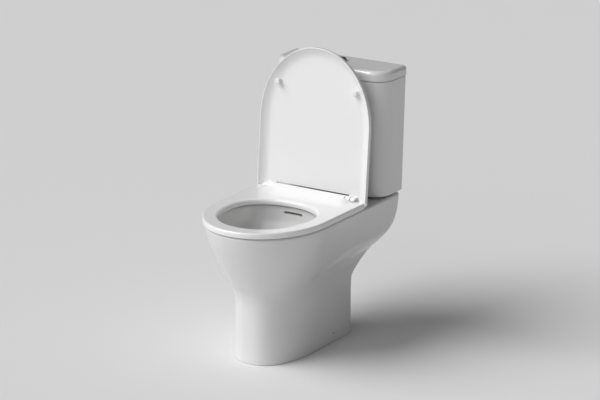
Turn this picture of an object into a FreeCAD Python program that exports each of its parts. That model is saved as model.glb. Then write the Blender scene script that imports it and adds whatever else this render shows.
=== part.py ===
"""Close coupled toilet: a vitreous china pan and cistern with a hinged seat and lid, a dual
flush valve, a bottom entry fill valve and the fixings that hold them together.

The frame is in millimetres: +Z up, -Y towards the user, the wall behind the cistern on +Y,
and the origin on the floor, halfway between the seat's front tip and the wall.
"""
import FreeCAD, Part
import Sketcher
import math
import os

Vector = FreeCAD.Vector
document = FreeCAD.newDocument("close_coupled_toilet")

# ---------------------------------------------------------------- driving dimensions

SIZES = [
    ("projection", 643, "seat tip to wall"),
    ("rim_height", 404, "floor to the pan's top face"),
    ("pan_half_width", 181, "half width of the pan at its rim"),
    ("pan_front", 639, "pan's front, from the wall"),
    ("pan_widest", 422, "where the rim is widest, from the wall"),
    ("shelf_half_width", 180, "half width of the cistern shelf"),
    ("shelf_back", 2, "back of the shelf, from the wall"),
    ("foot_half_width", 106, "half width of the pedestal"),
    ("foot_front", 544, "front of the pedestal, from the wall"),
    ("foot_widest", 331, "where the pedestal's front starts to round, from the wall"),
    ("foot_back", 147, "back of the pedestal, from the wall"),
    ("china", 11, "wall of the pan's skin"),
    ("deck", 14, "thickness of the rim and shelf"),
    ("bowl_half_width", 148, "half width of the bowl's mouth"),
    ("bowl_front", 609, "front of the bowl's mouth, from the wall"),
    ("bowl_back", 309, "back of the bowl's mouth, from the wall"),
    ("bowl_widest", 430, "where the bowl's mouth is widest, from the wall"),
    ("sump_floor", 72, "floor to the bottom of the sump"),
    ("weir", 190, "water level held by the trap"),
    ("trap_radius", 36, "inside radius of the trapway"),
    ("outlet_height", 180, "floor to the centre of the outlet"),
    ("outlet_radius", 51, "outside radius of the outlet spigot"),
    ("outlet_bore", 42, "inside radius of the outlet spigot"),
    ("outlet_end", 95, "end of the outlet spigot, from the wall"),
    ("seat_half_width", 184, "half width of the seat"),
    ("seat_back", 216.5, "back corners of the seat, from the wall"),
    ("seat_gap", 4, "height of the seat buffers"),
    ("seat_thickness", 17, "thickness of the seat"),
    ("hole_half_width", 135, "half width of the seat's opening"),
    ("hole_front", 594, "front of the seat's opening, from the wall"),
    ("hole_back", 319, "back of the seat's opening, from the wall"),
    ("lid_gap", 3, "gap between the closed lid and the seat"),
    ("lid_depth", 17, "depth of the lid's dish"),
    ("lid_shell", 5, "thickness of the lid's skin"),
    ("lid_overhang", 2, "how far the lid overhangs the seat"),
    ("lid_open_angle", 95, "angle of the open lid from closed"),
    ("hinge_depth", 220, "hinge axis, from the wall"),
    ("hinge_rise", 1.6, "hinge axis above the seat's top face"),
    ("barrel_radius", 11.5, "radius of the seat's hinge barrel"),
    ("barrel_half_length", 123, "half length of the seat's hinge barrel"),
    ("knuckle", 14.5, "width of a hinge knuckle"),
    ("pin_radius", 4, "radius of the hinge pins"),
    ("stud_spacing", 155, "spacing of the seat's fixing holes"),
    ("stud_depth", 190, "seat's fixing holes, from the wall"),
    ("stud_radius", 4, "radius of the seat's studs"),
    ("cistern_gap", 5, "gap between the shelf and the cistern"),
    ("cistern_half_width", 180, "half width of the cistern's foot"),
    ("cistern_top_half_width", 189.5, "half width of the cistern's top"),
    ("cistern_depth", 125, "depth of the cistern's foot"),
    ("cistern_top_depth", 132, "depth of the cistern's top"),
    ("cistern_height", 350, "height of the cistern without its lid"),
    ("cistern_wall", 9, "wall of the cistern"),
    ("cistern_corner", 52, "radius of the cistern's front corners"),
    ("cistern_lid_overhang", 2, "how far the cistern's lid overhangs it"),
    ("cistern_lid_thickness", 30, "height of the cistern's lid"),
    ("cistern_lid_skin", 12, "thickness of the lid's top"),
    ("cistern_lid_round", 12, "rounding of the lid's top edge"),
    ("valve_depth", 70, "flush valve, bolts and button, from the wall"),
    ("pocket_rise", 10, "depth of the pocket under the cistern"),
    ("bolt_spacing", 150, "spacing of the close coupling bolts"),
    ("bolt_radius", 4, "radius of the close coupling bolts"),
    ("tail_radius", 29, "outside radius of the flush valve's tail"),
    ("tail_bore", 24, "inside radius of the flush valve's tail"),
    ("tail_length", 52, "length of the tail below the cistern's floor"),
    ("cage_radius", 40, "outside radius of the flush valve's cage"),
    ("cage_height", 190, "height of the flush valve's cage"),
    ("overflow_radius", 17, "outside radius of the overflow tube"),
    ("flush_lift", 14, "lift of the flush valve's seal"),
    ("button_radius", 25, "outside radius of the button's bezel"),
    ("button_rise", 8, "height of the bezel above the lid"),
    ("button_travel", 7, "travel of the flush buttons"),
    ("inlet_offset", 130, "fill valve, from the middle"),
    ("inlet_depth", 52, "fill valve, from the wall"),
    ("inlet_radius", 10.45, "outside radius of the fill valve's tail"),
    ("inlet_length", 42, "length of the fill valve's tail below the cistern"),
    ("column_radius", 13, "outside radius of the fill valve's column"),
    ("float_radius", 30, "outside radius of the float"),
    ("float_travel", 12, "travel of the float"),
    ("side_hole_depth", 260, "side fixing holes, from the wall"),
    ("side_hole_height", 28, "side fixing holes, from the floor"),
    ("side_hole_radius", 5.5, "radius of the side fixing holes"),
    ("wall_hole_spacing", 200, "spacing of the cistern's wall screws"),
    ("wall_hole_drop", 60, "wall screws, below the cistern's top"),
    ("wall_hole_radius", 4, "radius of the wall screw holes"),
]

sheet = document.addObject("Spreadsheet::Sheet", "Sizes")
for row, (alias, number, meaning) in enumerate(SIZES, start=1):
    sheet.set(f"A{row}", alias)
    sheet.set(f"B{row}", str(number))
    sheet.set(f"C{row}", meaning)
    sheet.setAlias(f"B{row}", alias)
document.recompute()


class Length:
    """A length that carries both its number and the expression that binds it to the sheet."""

    def __init__(self, number, text):
        self.number = number
        self.text = text

    def __float__(self):
        return float(self.number)

    def __add__(self, other):
        return Length(self.number + float(other), f"({self.text} + {words(other)})")

    def __radd__(self, other):
        return Length(float(other) + self.number, f"({words(other)} + {self.text})")

    def __sub__(self, other):
        return Length(self.number - float(other), f"({self.text} - {words(other)})")

    def __rsub__(self, other):
        return Length(float(other) - self.number, f"({words(other)} - {self.text})")

    def __mul__(self, other):
        return Length(self.number * float(other), f"({self.text} * {words(other)})")

    def __rmul__(self, other):
        return Length(float(other) * self.number, f"({words(other)} * {self.text})")

    def __truediv__(self, other):
        return Length(self.number / float(other), f"({self.text} / {words(other)})")

    def __neg__(self):
        return Length(-self.number, f"(0 - {self.text})")


def words(value):
    return value.text if isinstance(value, Length) else repr(float(value))


def dim(alias):
    return Length(float(sheet.get(alias)), f"Sizes.{alias}")


def bind(item, prop, value):
    """Bind one property to the sheet, or set it when it is a plain number."""
    if isinstance(value, Length):
        item.setExpression(prop, value.text)
    elif "." in prop or "[" in prop:
        item.setExpression(prop, repr(float(value)))
    else:
        setattr(item, prop, value)


wall = dim("projection") / 2


def from_wall(depth):
    """The y of a point that stands this far in front of the wall."""
    return wall - depth


pieces = []


def keep(item, label):
    """Name a finished piece; every kept piece becomes one file."""
    item.Label = label
    pieces.append(item)
    return item


# ---------------------------------------------------------------- bound solids

TURNS = {
    "Z": FreeCAD.Rotation(),
    "X": FreeCAD.Rotation(Vector(0, 1, 0), 90),
    "Y": FreeCAD.Rotation(Vector(1, 0, 0), -90),
}


def place(item, x, y, z, along="Z"):
    item.Placement = FreeCAD.Placement(Vector(), TURNS[along])
    for letter, value in zip("xyz", (x, y, z)):
        bind(item, f"Placement.Base.{letter}", value)
    return item


def rod(name, radius, height, x, y, z, along="Z"):
    item = document.addObject("Part::Cylinder", name)
    bind(item, "Radius", radius)
    bind(item, "Height", height)
    return place(item, x, y, z, along)


def cone(name, low, high, height, x, y, z):
    item = document.addObject("Part::Cone", name)
    bind(item, "Radius1", low)
    bind(item, "Radius2", high)
    bind(item, "Height", height)
    return place(item, x, y, z)


def block(name, x, y, z):
    """A box between pairs of limits."""
    item = document.addObject("Part::Box", name)
    for prop, (low, high) in zip(("Length", "Width", "Height"), (x, y, z)):
        bind(item, prop, high - low)
    return place(item, x[0], y[0], z[0])


def join(name, *items):
    item = document.addObject("Part::MultiFuse", name)
    item.Shapes = list(items)
    return item


def subtract(name, base, *tools):
    item = document.addObject("Part::Cut", name)
    item.Base = base
    item.Tool = tools[0] if len(tools) == 1 else join(name + "_tools", *tools)
    return item


def ring(name, outer, inner, height, x, y, z, along="Z"):
    body = rod(name + "_outside", outer, height, x, y, z, along)
    bore = rod(name + "_inside", inner, height, x, y, z, along)
    return subtract(name, body, bore)


def nut(name, across, bore, height, x, y, z, sides=6):
    """A nut whose flats are `across` from its axis to a corner."""
    prism = document.addObject("Part::Prism", name + "_flats")
    prism.Polygon = sides
    bind(prism, "Circumradius", across)
    bind(prism, "Height", height)
    place(prism, x, y, z)
    return subtract(name, prism, rod(name + "_bore", bore, height, x, y, z))


def feature(name, shape):
    item = document.addObject("Part::Feature", name)
    item.Shape = shape
    return item


# ---------------------------------------------------------------- sketched bodies

def new_body(name):
    return document.addObject("PartDesign::Body", name)


def origin_item(body, role):
    return next(item for item in body.Origin.OriginFeatures if item.Role == role)


def new_sketch(body, name, role="XY_Plane", offset=0.0):
    sketch = body.newObject("Sketcher::SketchObject", name)
    sketch.AttachmentSupport = [(origin_item(body, role), "")]
    sketch.MapMode = "FlatFace"
    bind(sketch, "AttachmentOffset.Base.z", offset)
    return sketch


def tie(sketch, kind, index, point, value):
    """Hold one point of a sketch at a bound distance from the sketch's origin."""
    if float(value) == 0.0 and not isinstance(value, Length):
        axis = -2 if kind == "DistanceX" else -1
        sketch.addConstraint(Sketcher.Constraint("PointOnObject", index, point, axis))
        return
    number = sketch.addConstraint(Sketcher.Constraint(kind, -1, 1, index, point, float(value)))
    bind(sketch, f"Constraints[{number}]", value)


def draw_polygon(sketch, corners):
    first = sketch.GeometryCount
    count = len(corners)
    points = [Vector(float(x), float(y), 0) for x, y in corners]
    for index in range(count):
        sketch.addGeometry(Part.LineSegment(points[index], points[(index + 1) % count]))
    for index in range(count):
        after = first + (index + 1) % count
        sketch.addConstraint(Sketcher.Constraint("Coincident", first + index, 2, after, 1))
    for index, (x, y) in enumerate(corners):
        tie(sketch, "DistanceX", first + index, 1, x)
        tie(sketch, "DistanceY", first + index, 1, y)


def rectangle(x, y):
    return [(x[0], y[0]), (x[1], y[0]), (x[1], y[1]), (x[0], y[1])]


def pad(body, sketch, length, reversed_way=False):
    item = body.newObject("PartDesign::Pad", sketch.Name + "_pad")
    item.Profile = sketch
    bind(item, "Length", length)
    item.Reversed = reversed_way
    return item


def revolve(body, sketch):
    item = body.newObject("PartDesign::Revolution", sketch.Name + "_turned")
    item.Profile = sketch
    item.ReferenceAxis = (sketch, ["V_Axis"])
    item.Angle = 360
    return item


def turned(name, x, y, z, corners):
    """A body turned about an upright axis from a profile of (radius, height) corners."""
    body = new_body(name)
    profile = new_sketch(body, name + "_profile", "XZ_Plane")
    draw_polygon(profile, corners)
    revolve(body, profile)
    place(body, x, y, z)
    return body


def edges_where(shape, test):
    return [f"Edge{number}" for number, edge in enumerate(shape.Edges, start=1) if test(edge)]


def round_edges(body, base, names, radius):
    item = body.newObject("PartDesign::Fillet", base.Name + "_round")
    item.Base = (base, names)
    bind(item, "Radius", radius)
    return item


# ---------------------------------------------------------------- outlines

def bow(half_width, reach, widest, exponent, height):
    """The rounded front of an outline: a super-ellipse from its left side to its right side."""
    points = []
    steps = 14
    for step in range(-steps, steps + 1):
        angle = math.pi / 2 * step / steps
        across = math.copysign(abs(math.sin(angle)) ** (2 / exponent), angle)
        along = math.cos(angle) ** (2 / exponent)
        points.append(Vector(half_width * across, widest - reach * along, height))
    curve = Part.BSplineCurve()
    side = Vector(0, 1, 0)
    curve.interpolate(Points=points, InitialTangent=-side, FinalTangent=side)
    return curve.toShape()


def outline(height, half_width, front, widest, exponent, back_half_width, back, corner):
    """A closed outline: rounded front, straight sides and a flat back with rounded corners.
    front, widest and back are distances from the wall."""
    y_widest = float(wall) - widest
    y_back = float(wall) - back
    y_turn = y_back - corner
    x_turn = back_half_width - corner
    bend = corner * math.sqrt(0.5)
    edges = [bow(half_width, front - widest, y_widest, exponent, height)]
    right = Vector(back_half_width, y_turn, height)
    right_back = Vector(x_turn, y_back, height)
    left_back = Vector(-x_turn, y_back, height)
    left = Vector(-back_half_width, y_turn, height)
    edges.append(Part.makeLine(Vector(half_width, y_widest, height), right))
    edges.append(Part.Arc(right, Vector(x_turn + bend, y_turn + bend, height), right_back).toShape())
    edges.append(Part.makeLine(right_back, left_back))
    edges.append(Part.Arc(left_back, Vector(-x_turn - bend, y_turn + bend, height), left).toShape())
    edges.append(Part.makeLine(left, Vector(-half_width, y_widest, height)))
    return Part.Wire(edges)


def egg(height, half_width, front, widest, back, exponent=2.15):
    """A closed egg outline from two half ovals that meet where it is widest."""
    y_widest = float(wall) - widest
    fore = bow(half_width, front - widest, y_widest, exponent, height)
    aft = bow(half_width, widest - back, y_widest, exponent, height)
    turn = FreeCAD.Placement(Vector(0, 2 * y_widest, 0), FreeCAD.Rotation(Vector(0, 0, 1), 180))
    aft.Placement = turn
    return Part.Wire([fore, aft])


def slab(wire, thickness):
    return Part.Face(wire).extrude(Vector(0, 0, thickness))


def tube_path(points, radius):
    """Straight runs through the points, joined by arcs of one radius that meet them smoothly."""
    edges = []
    start = points[0]
    for before, corner, after in zip(points, points[1:], points[2:]):
        into = (corner - before).normalize()
        out = (after - corner).normalize()
        half_turn = into.getAngle(out) / 2
        reach = radius * math.tan(half_turn)
        enter = corner - into * reach
        leave = corner + out * reach
        middle = corner + (out - into).normalize() * radius * (1 / math.cos(half_turn) - 1)
        edges.append(Part.makeLine(start, enter))
        edges.append(Part.Arc(enter, middle, leave).toShape())
        start = leave
    edges.append(Part.makeLine(start, points[-1]))
    return Part.Wire(edges)


def pipe(path, radius):
    start = path.Edges[0]
    heading = start.tangentAt(start.FirstParameter)
    circle = Part.Wire(Part.makeCircle(radius, start.valueAt(start.FirstParameter), heading))
    return path.makePipeShell([circle], True, False)


def upright(radius, low, high, x, depth):
    return Part.makeCylinder(radius, high - low, Vector(x, float(wall) - depth, low))


def cuboid(x, depth, z):
    """A box; depth is a pair of distances from the wall, far edge first."""
    corner = Vector(x[0], float(wall) - depth[0], z[0])
    return Part.makeBox(x[1] - x[0], depth[0] - depth[1], z[1] - z[0], corner)


# ---------------------------------------------------------------- heights that pieces share

rim = dim("rim_height")
seat_low = rim + dim("seat_gap")
seat_top = seat_low + dim("seat_thickness")
lid_low = seat_top + dim("lid_gap")
hinge_height = seat_top + dim("hinge_rise")
hinge_y = from_wall(dim("hinge_depth"))
cistern_low = rim + dim("cistern_gap")
cistern_high = cistern_low + dim("cistern_height")
cistern_lid_high = cistern_high + dim("cistern_lid_thickness")
pocket_top = cistern_low + dim("pocket_rise")
platform = pocket_top + 12.0
valve_y = from_wall(dim("valve_depth"))
inlet_x = -dim("inlet_offset")
inlet_y = from_wall(dim("inlet_depth"))
cistern_floor = cistern_low + dim("cistern_wall")

SEAT_EXPONENT = 2.03
FOOT_EXPONENT = 2.5
RECESS_RADIUS = 45.0
RECESS_DEPTH = 8.0


# ---------------------------------------------------------------- pan

# Each station: height as a share of the rim's, how far the front has swelled from the foot's
# outline to the rim's, how far the back has reached out to the wall, and how far it has widened.
PAN_STATIONS = [
    (0.000, 0.00, 0.00, 0.00),
    (0.150, 0.00, 0.00, 0.00),
    (0.300, 0.00, 0.00, 0.00),
    (0.425, 0.00, 0.02, 0.00),
    (0.507, 0.06, 0.25, 0.03),
    (0.582, 0.225, 0.55, 0.12),
    (0.656, 0.405, 0.76, 0.42),
    (0.730, 0.57, 0.90, 0.70),
    (0.817, 0.74, 0.965, 0.88),
    (0.903, 0.885, 0.985, 0.97),
    (1.000, 1.00, 1.00, 1.00),
]

# Each station of the bowl: height as a share of the way from the sump's floor to the rim, and
# the width, front and back as shares of the way from the sump's to the mouth's.
BOWL_STATIONS = [
    (0.00, 0.00, 0.00, 0.00),
    (0.10, 0.12, 0.10, 0.06),
    (0.30, 0.18, 0.22, 0.12),
    (0.48, 0.26, 0.36, 0.22),
    (0.58, 0.42, 0.52, 0.38),
    (0.69, 0.70, 0.76, 0.62),
    (0.80, 0.94, 0.94, 0.88),
    (0.89, 1.01, 1.00, 1.00),
    (1.00, 1.00, 1.00, 1.00),
]

SUMP_HALF_WIDTH = 40.0
SUMP_FRONT = 470.0
SUMP_BACK = 376.0
SUMP_WIDEST = 424.0


def between(low, high, share):
    return low + (high - low) * share


def pan_outline(station, inset):
    height, front_share, back_share, width_share = station
    size = {alias: float(dim(alias)) for alias, _, _ in SIZES}
    return outline(
        height * size["rim_height"],
        between(size["foot_half_width"], size["pan_half_width"], front_share) - inset,
        between(size["foot_front"], size["pan_front"], front_share) - inset,
        between(size["foot_widest"], size["pan_widest"], front_share),
        between(FOOT_EXPONENT, SEAT_EXPONENT, front_share),
        between(size["foot_half_width"], size["shelf_half_width"], width_share) - inset,
        between(size["foot_back"], size["shelf_back"], back_share) + inset,
        24.0 - inset,
    )


def bowl_outline(station, grow):
    height, width_share, front_share, back_share = station
    size = {alias: float(dim(alias)) for alias, _, _ in SIZES}
    floor = size["sump_floor"] - grow
    return egg(
        between(floor, size["rim_height"], height),
        between(SUMP_HALF_WIDTH, size["bowl_half_width"], width_share) + grow,
        between(SUMP_FRONT, size["bowl_front"], front_share) + grow,
        between(SUMP_WIDEST, size["bowl_widest"], front_share),
        between(SUMP_BACK, size["bowl_back"], back_share) - grow,
    )


def stations_below(limit):
    """The pan's stations up to one share of its height, with a last one at that share."""
    kept = [station for station in PAN_STATIONS if station[0] < limit - 0.01]
    low = kept[-1]
    high = PAN_STATIONS[len(kept)]
    share = (limit - low[0]) / (high[0] - low[0])
    return kept + [tuple(between(a, b, share) for a, b in zip(low, high))]


def stack(wires):
    return Part.makeLoft(wires, True, True)


def make_skirt():
    """The outer skin of the pan with its rim and shelf, open below and behind the outlet."""
    top = float(rim)
    outer = stack([pan_outline(station, 0.0) for station in PAN_STATIONS])
    hollow = stack([pan_outline(station, china) for station in stations_below(1 - deck / top)])
    hollow_foot = slab(pan_outline(PAN_STATIONS[0], china), -2.0)
    window_half = float(dim("foot_half_width")) - WINDOW_EDGE
    window_top = outlet + float(dim("outlet_radius")) + WINDOW_HEADROOM
    window = cuboid((-window_half, window_half), (float(dim("foot_back")) + 30, -5.0), (-1.0, window_top))
    return outer.cut(hollow).cut(hollow_foot).cut(window)


def make_trap_path():
    """The middle line of the waterway: out of the sump, over the weir and down to the outlet."""
    dip = sump_floor + trap - 2.0
    crest = float(dim("weir")) + trap
    route = [
        (SUMP_WIDEST + 6, dip),
        (348, dip),
        (290, crest),
        (234, crest),
        (192, outlet),
        (outlet_end + 40, outlet),
    ]
    return tube_path([Vector(0, float(wall) - depth, z) for depth, z in route], trap + china + 2)


china = float(dim("china"))
deck = float(dim("deck"))
trap = float(dim("trap_radius"))
sump_floor = float(dim("sump_floor"))
outlet = float(dim("outlet_height"))
outlet_end = float(dim("outlet_end"))
valve_depth = float(dim("valve_depth"))
bowl_back = float(dim("bowl_back"))
WINDOW_EDGE = 28.0
WINDOW_HEADROOM = 30.0
SPIGOT_LENGTH = 75.0
SPIGOT_STOP = 14.0
DUCT_HALF_WIDTH = 31.0
DUCT_DROP = 40.0
SLOT_HEIGHT = 7.0

deck_underside = float(rim) - deck
duct_low = deck_underside - DUCT_DROP
skirt = make_skirt()
below_deck = cuboid((-200, 200), (700, 0), (0, deck_underside))
bowl_space = stack([bowl_outline(station, 0.0) for station in BOWL_STATIONS])
mouth = slab(bowl_outline(BOWL_STATIONS[-1], 0.0), 2.0)
cup = stack([bowl_outline(station, china) for station in BOWL_STATIONS])

trap_path = make_trap_path()
waterway = pipe(trap_path, trap)
spigot_start = Vector(0, float(wall) - outlet_end - SPIGOT_LENGTH, outlet)
spigot = Part.makeCylinder(float(dim("outlet_radius")), SPIGOT_LENGTH, spigot_start, Vector(0, 1, 0))
bore_start = spigot_start + Vector(0, SPIGOT_STOP, 0)
spigot_bore = Part.makeCylinder(float(dim("outlet_bore")), SPIGOT_LENGTH, bore_start, Vector(0, 1, 0))

# The duct ends behind the bowl, where only a slot under the rim lets its water through.
duct_depth = (bowl_back - china - 2, valve_depth - DUCT_HALF_WIDTH - 4)
duct = cuboid((-DUCT_HALF_WIDTH, DUCT_HALF_WIDTH), duct_depth, (duct_low, deck_underside + 1))
slot = cuboid((-DUCT_HALF_WIDTH, DUCT_HALF_WIDTH), (bowl_back + 22, duct_depth[0] - 1),
              (deck_underside - SLOT_HEIGHT, deck_underside + 1))
duct = duct.fuse([slot])
duct_half = DUCT_HALF_WIDTH + china
duct_walls = cuboid((-duct_half, duct_half), (bowl_back, duct_depth[1] - china),
                    (duct_low - china, deck_underside))

skirt_cuts = [
    bowl_space,
    mouth,
    upright(float(dim("tail_radius")) + 4, deck_underside - 1, float(rim) + 1, 0, valve_depth),
    upright(RECESS_RADIUS, float(rim) - RECESS_DEPTH, float(rim) + 1, 0, valve_depth),
    upright(float(dim("inlet_radius")) + 15, float(rim) - 220, float(rim) + 1,
            float(inlet_x), float(dim("inlet_depth"))),
]
for side in (-1, 1):
    skirt_cuts.append(upright(float(dim("bolt_radius")) + 1.5, float(rim) - 40, float(rim) + 1,
                              side * float(dim("bolt_spacing")) / 2, valve_depth))
    skirt_cuts.append(upright(float(dim("stud_radius")) + 2, float(rim) - 40, float(rim) + 1,
                              side * float(dim("stud_spacing")) / 2, float(dim("stud_depth"))))
side_hole = Vector(-200, float(wall) - float(dim("side_hole_depth")), float(dim("side_hole_height")))
skirt_cuts.append(Part.makeCylinder(float(dim("side_hole_radius")), 400, side_hole, Vector(1, 0, 0)))

bowl = cup.common(below_deck).cut(skirt)
for tool in (bowl_space, waterway, duct):
    bowl = bowl.cut(tool)
trapway = pipe(trap_path, trap + china - 2).cut(cup).fuse([spigot]).cut(skirt)
for tool in (waterway, spigot_bore):
    trapway = trapway.cut(tool)
flush_duct = duct_walls.cut(cup).cut(skirt).cut(duct)
for tool in skirt_cuts:
    skirt = skirt.cut(tool)

# The pan is one piece of china when it is fired. It is cast in four moulds and joined while it is
# still wet: the skirt with its rim and shelf, the bowl, the trapway and the flush duct.
keep(feature("PanSkirt", skirt.removeSplitter()), "pan")
keep(feature("PanBowl", bowl.removeSplitter()), "pan_bowl")
keep(feature("PanTrapway", trapway.removeSplitter()), "pan_trapway")
keep(feature("PanFlushDuct", flush_duct.removeSplitter()), "pan_flush_duct")

# ---------------------------------------------------------------- seat and its lid

PIN_CLEARANCE = 0.05
BACK_RELIEF = 6.5
NOTCH_MARGIN = 0.5
PLATE_THICKNESS = 3.0
pin = dim("pin_radius")
barrel = dim("barrel_radius")
barrel_end = dim("barrel_half_length")
knuckle = dim("knuckle")
pillar_x = barrel_end + 1.0
lug_x = pillar_x + knuckle + 0.6
notch_end = lug_x + knuckle + 1.0


def seat_outline(height, grow, back, corner=6.0):
    half_width = float(dim("seat_half_width")) + grow
    front = float(dim("projection")) + grow
    widest = float(dim("pan_widest"))
    return outline(height, half_width, front, widest, SEAT_EXPONENT, half_width, back, corner)


def along_x(radius, x, length, y, z):
    return Part.makeCylinder(radius, length, Vector(x, y, z), Vector(1, 0, 0))


def round_rim(shape, height, radius):
    """Round the outer edges that lie at one height."""
    edges = [edge for edge in shape.Edges
             if abs(edge.BoundBox.ZMax - height) < 0.01 and abs(edge.BoundBox.ZMin - height) < 0.01]
    return shape.makeFillet(radius, edges)


def make_seat_ring():
    y = float(hinge_y)
    z = float(hinge_height)
    top = float(seat_top)
    low = float(seat_low)
    end = float(barrel_end)
    radius = float(barrel)
    seat = slab(seat_outline(low, 0.0, float(dim("seat_back"))), top - low)
    seat = round_rim(seat, top, 5.0)
    seat = round_rim(seat, low, 2.0)
    hole = egg(low - 1, float(dim("hole_half_width")), float(dim("hole_front")),
               float(dim("bowl_widest")), float(dim("hole_back")))
    seat = seat.cut(slab(hole, top - low + 2))
    corners = [(-46, -4), (-46, -1.6), (-12, radius - 2), (0, radius), (0, -8), (-46, -4)]
    ramp = Part.makePolygon([Vector(-end + 4, y + dy, z + dz) for dy, dz in corners])
    ramp = Part.Face(ramp).extrude(Vector(2 * end - 8, 0, 0))
    seat = seat.fuse([ramp, along_x(radius, -end, 2 * end, y, z)])
    for side in (-1, 1):
        near = end if side > 0 else -float(notch_end)
        seat = seat.cut(Part.makeBox(float(notch_end) - end, 60, 60, Vector(near, y - 16, low - 20)))
        bore_x = end - 30 if side > 0 else -end
        seat = seat.cut(along_x(float(pin) + PIN_CLEARANCE, bore_x, 30, y, z))
    return seat.removeSplitter()


def opened(shape):
    """Turn a piece of the lid from closed to open about the hinge axis."""
    copy = shape.copy()
    axis_point = Vector(0, float(hinge_y), float(hinge_height))
    copy.rotate(axis_point, Vector(1, 0, 0), -float(dim("lid_open_angle")))
    return copy


def make_seat_lid():
    y = float(hinge_y)
    z = float(hinge_height)
    low = float(lid_low)
    depth = float(dim("lid_depth"))
    inner = depth - float(dim("lid_shell"))
    hinge_depth = float(dim("hinge_depth"))
    radius = float(barrel)
    overhang = float(dim("lid_overhang"))
    lid = slab(seat_outline(low, overhang, hinge_depth - radius - 5.0, 8.0), depth)
    lid = round_rim(lid, low + depth, 6.0)
    lid = lid.cut(slab(seat_outline(low, overhang - 6.0, hinge_depth - radius - 1.7, 4.0), inner))
    relief = Part.makeBox(400, 40, BACK_RELIEF + 10, Vector(-200, y + 0.8, z - 10))
    lid = lid.cut(relief)
    notch_half = float(barrel_end) + 1
    notch_reach = radius + NOTCH_MARGIN
    notch = Part.makeBox(2 * notch_half, 60, 60, Vector(-notch_half, y - notch_reach, z - 20))
    lid = lid.cut(notch)
    for side in (-1, 1):
        lug = float(lug_x) if side > 0 else -float(lug_x) - float(knuckle)
        eye = along_x(radius - 2, lug, float(knuckle), y, z)
        web = Part.makeBox(float(knuckle), 2 * (radius - 2), low + inner - z + 1,
                           Vector(lug, y - radius + 2, z))
        lid = lid.fuse([eye, web])
        lid = lid.cut(along_x(float(pin) + PIN_CLEARANCE, lug - 1, float(knuckle) + 2, y, z))
    return opened(lid.removeSplitter())


def make_lid_buffers():
    low = float(seat_top) + 0.3
    high = float(lid_low) + float(dim("lid_depth")) - float(dim("lid_shell"))
    across = float(dim("seat_half_width")) - 53
    depth = float(dim("hinge_depth")) + 310
    discs = [upright(8.5, low, high, side * across, depth) for side in (-1, 1)]
    return opened(Part.makeCompound(discs))


keep(feature("SeatRing", make_seat_ring()), "seat_ring")
keep(feature("SeatLid", make_seat_lid()), "seat_lid")
keep(feature("LidBuffers", make_lid_buffers()), "lid_buffers")

buffers = []
for across, depth in ((136.0, 540.0), (160.0, 300.0)):
    for side in (-1, 1):
        buffers.append(rod("seat_buffer", 8.0, dim("seat_gap"), side * across, from_wall(depth), rim))
keep(join("SeatBuffers", *buffers), "seat_buffers")

bases = []
pins = []
studs = []
cones = []
stud_nuts = []
stud_y = from_wall(dim("stud_depth"))
deck_low = rim - dim("deck")


def wing_nut(name, bore, x, y, z):
    """A wing nut that hangs below height z."""
    hub = rod(name + "_hub", bore + 5.0, 10.0, x, y, z - 10.0)
    wings = block(name + "_wings", (x - 21.0, x + 21.0), (y - 1.5, y + 1.5), (z - 16.0, z - 4.0))
    bore_rod = rod(name + "_bore", bore, 20.0, x, y, z - 18.0)
    return subtract(name, join(name + "_blank", hub, wings), bore_rod)


for side, hand in ((-1, "left"), (1, "right")):
    stud_x = side * dim("stud_spacing") / 2
    near = pillar_x if side > 0 else -(pillar_x + knuckle)
    far = near + knuckle
    inner = side * (dim("stud_spacing") / 2 - 16.0)
    plate_x = (inner, far) if side > 0 else (near, inner)
    plate_top = rim + PLATE_THICKNESS
    plate = block(hand + "_plate", plate_x, (hinge_y - barrel, stud_y + 14.0), (rim, plate_top))
    stem = block(hand + "_stem", (near, far), (hinge_y - barrel, hinge_y - 2.0), (rim, hinge_height))
    eye = rod(hand + "_eye", barrel, knuckle, near, hinge_y, hinge_height, "X")
    pin_start = barrel_end - 28.0 if side > 0 else -(notch_end - 2.0)
    pin_length = notch_end - 2.0 - barrel_end + 28.0
    pin_hole = rod(hand + "_pin_hole", pin, knuckle, near, hinge_y, hinge_height, "X")
    stud_hole = rod(hand + "_stud_hole", dim("stud_radius"), 10.0, stud_x, stud_y, rim - 2.0)
    base = subtract(hand + "_base", join(hand + "_base_blank", plate, stem, eye), pin_hole, stud_hole)
    bases.append(base)
    pins.append(rod(hand + "_pin", pin, pin_length, pin_start, hinge_y, hinge_height, "X"))
    stud_low = deck_low - 32.0
    studs.append(rod(hand + "_stud", dim("stud_radius"), plate_top - stud_low, stud_x, stud_y, stud_low))
    washer = cone(hand + "_washer_blank", 14.0, 11.0, 6.0, stud_x, stud_y, deck_low - 6.0)
    washer_hole = rod(hand + "_washer_hole", dim("stud_radius") + 0.2, 8.0, stud_x, stud_y, deck_low - 7.0)
    cones.append(subtract(hand + "_washer", washer, washer_hole))
    nut_bore = dim("stud_radius") + 0.1
    stud_nuts.append(wing_nut(hand + "_stud_nut", nut_bore, stud_x, stud_y, deck_low - 6.0))
keep(join("HingeBases", *bases), "hinge_bases")
keep(join("HingePins", *pins), "hinge_pins")
keep(join("HingeStuds", *studs), "hinge_studs")
keep(join("StudWashers", *cones), "stud_cone_washers")
keep(join("StudNuts", *stud_nuts), "stud_wing_nuts")

# ---------------------------------------------------------------- cistern and its lid


def upright_corners(shape, front):
    """The upright edges at the two corners on one side: front or back."""
    limit = shape.BoundBox.YMin if front else shape.BoundBox.YMax

    def is_corner(edge):
        box = edge.BoundBox
        near = box.YMin if front else box.YMax
        return box.ZLength > 10 and abs(near - limit) < 12 and box.XLength < 20
    return edges_where(shape, is_corner)


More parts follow.
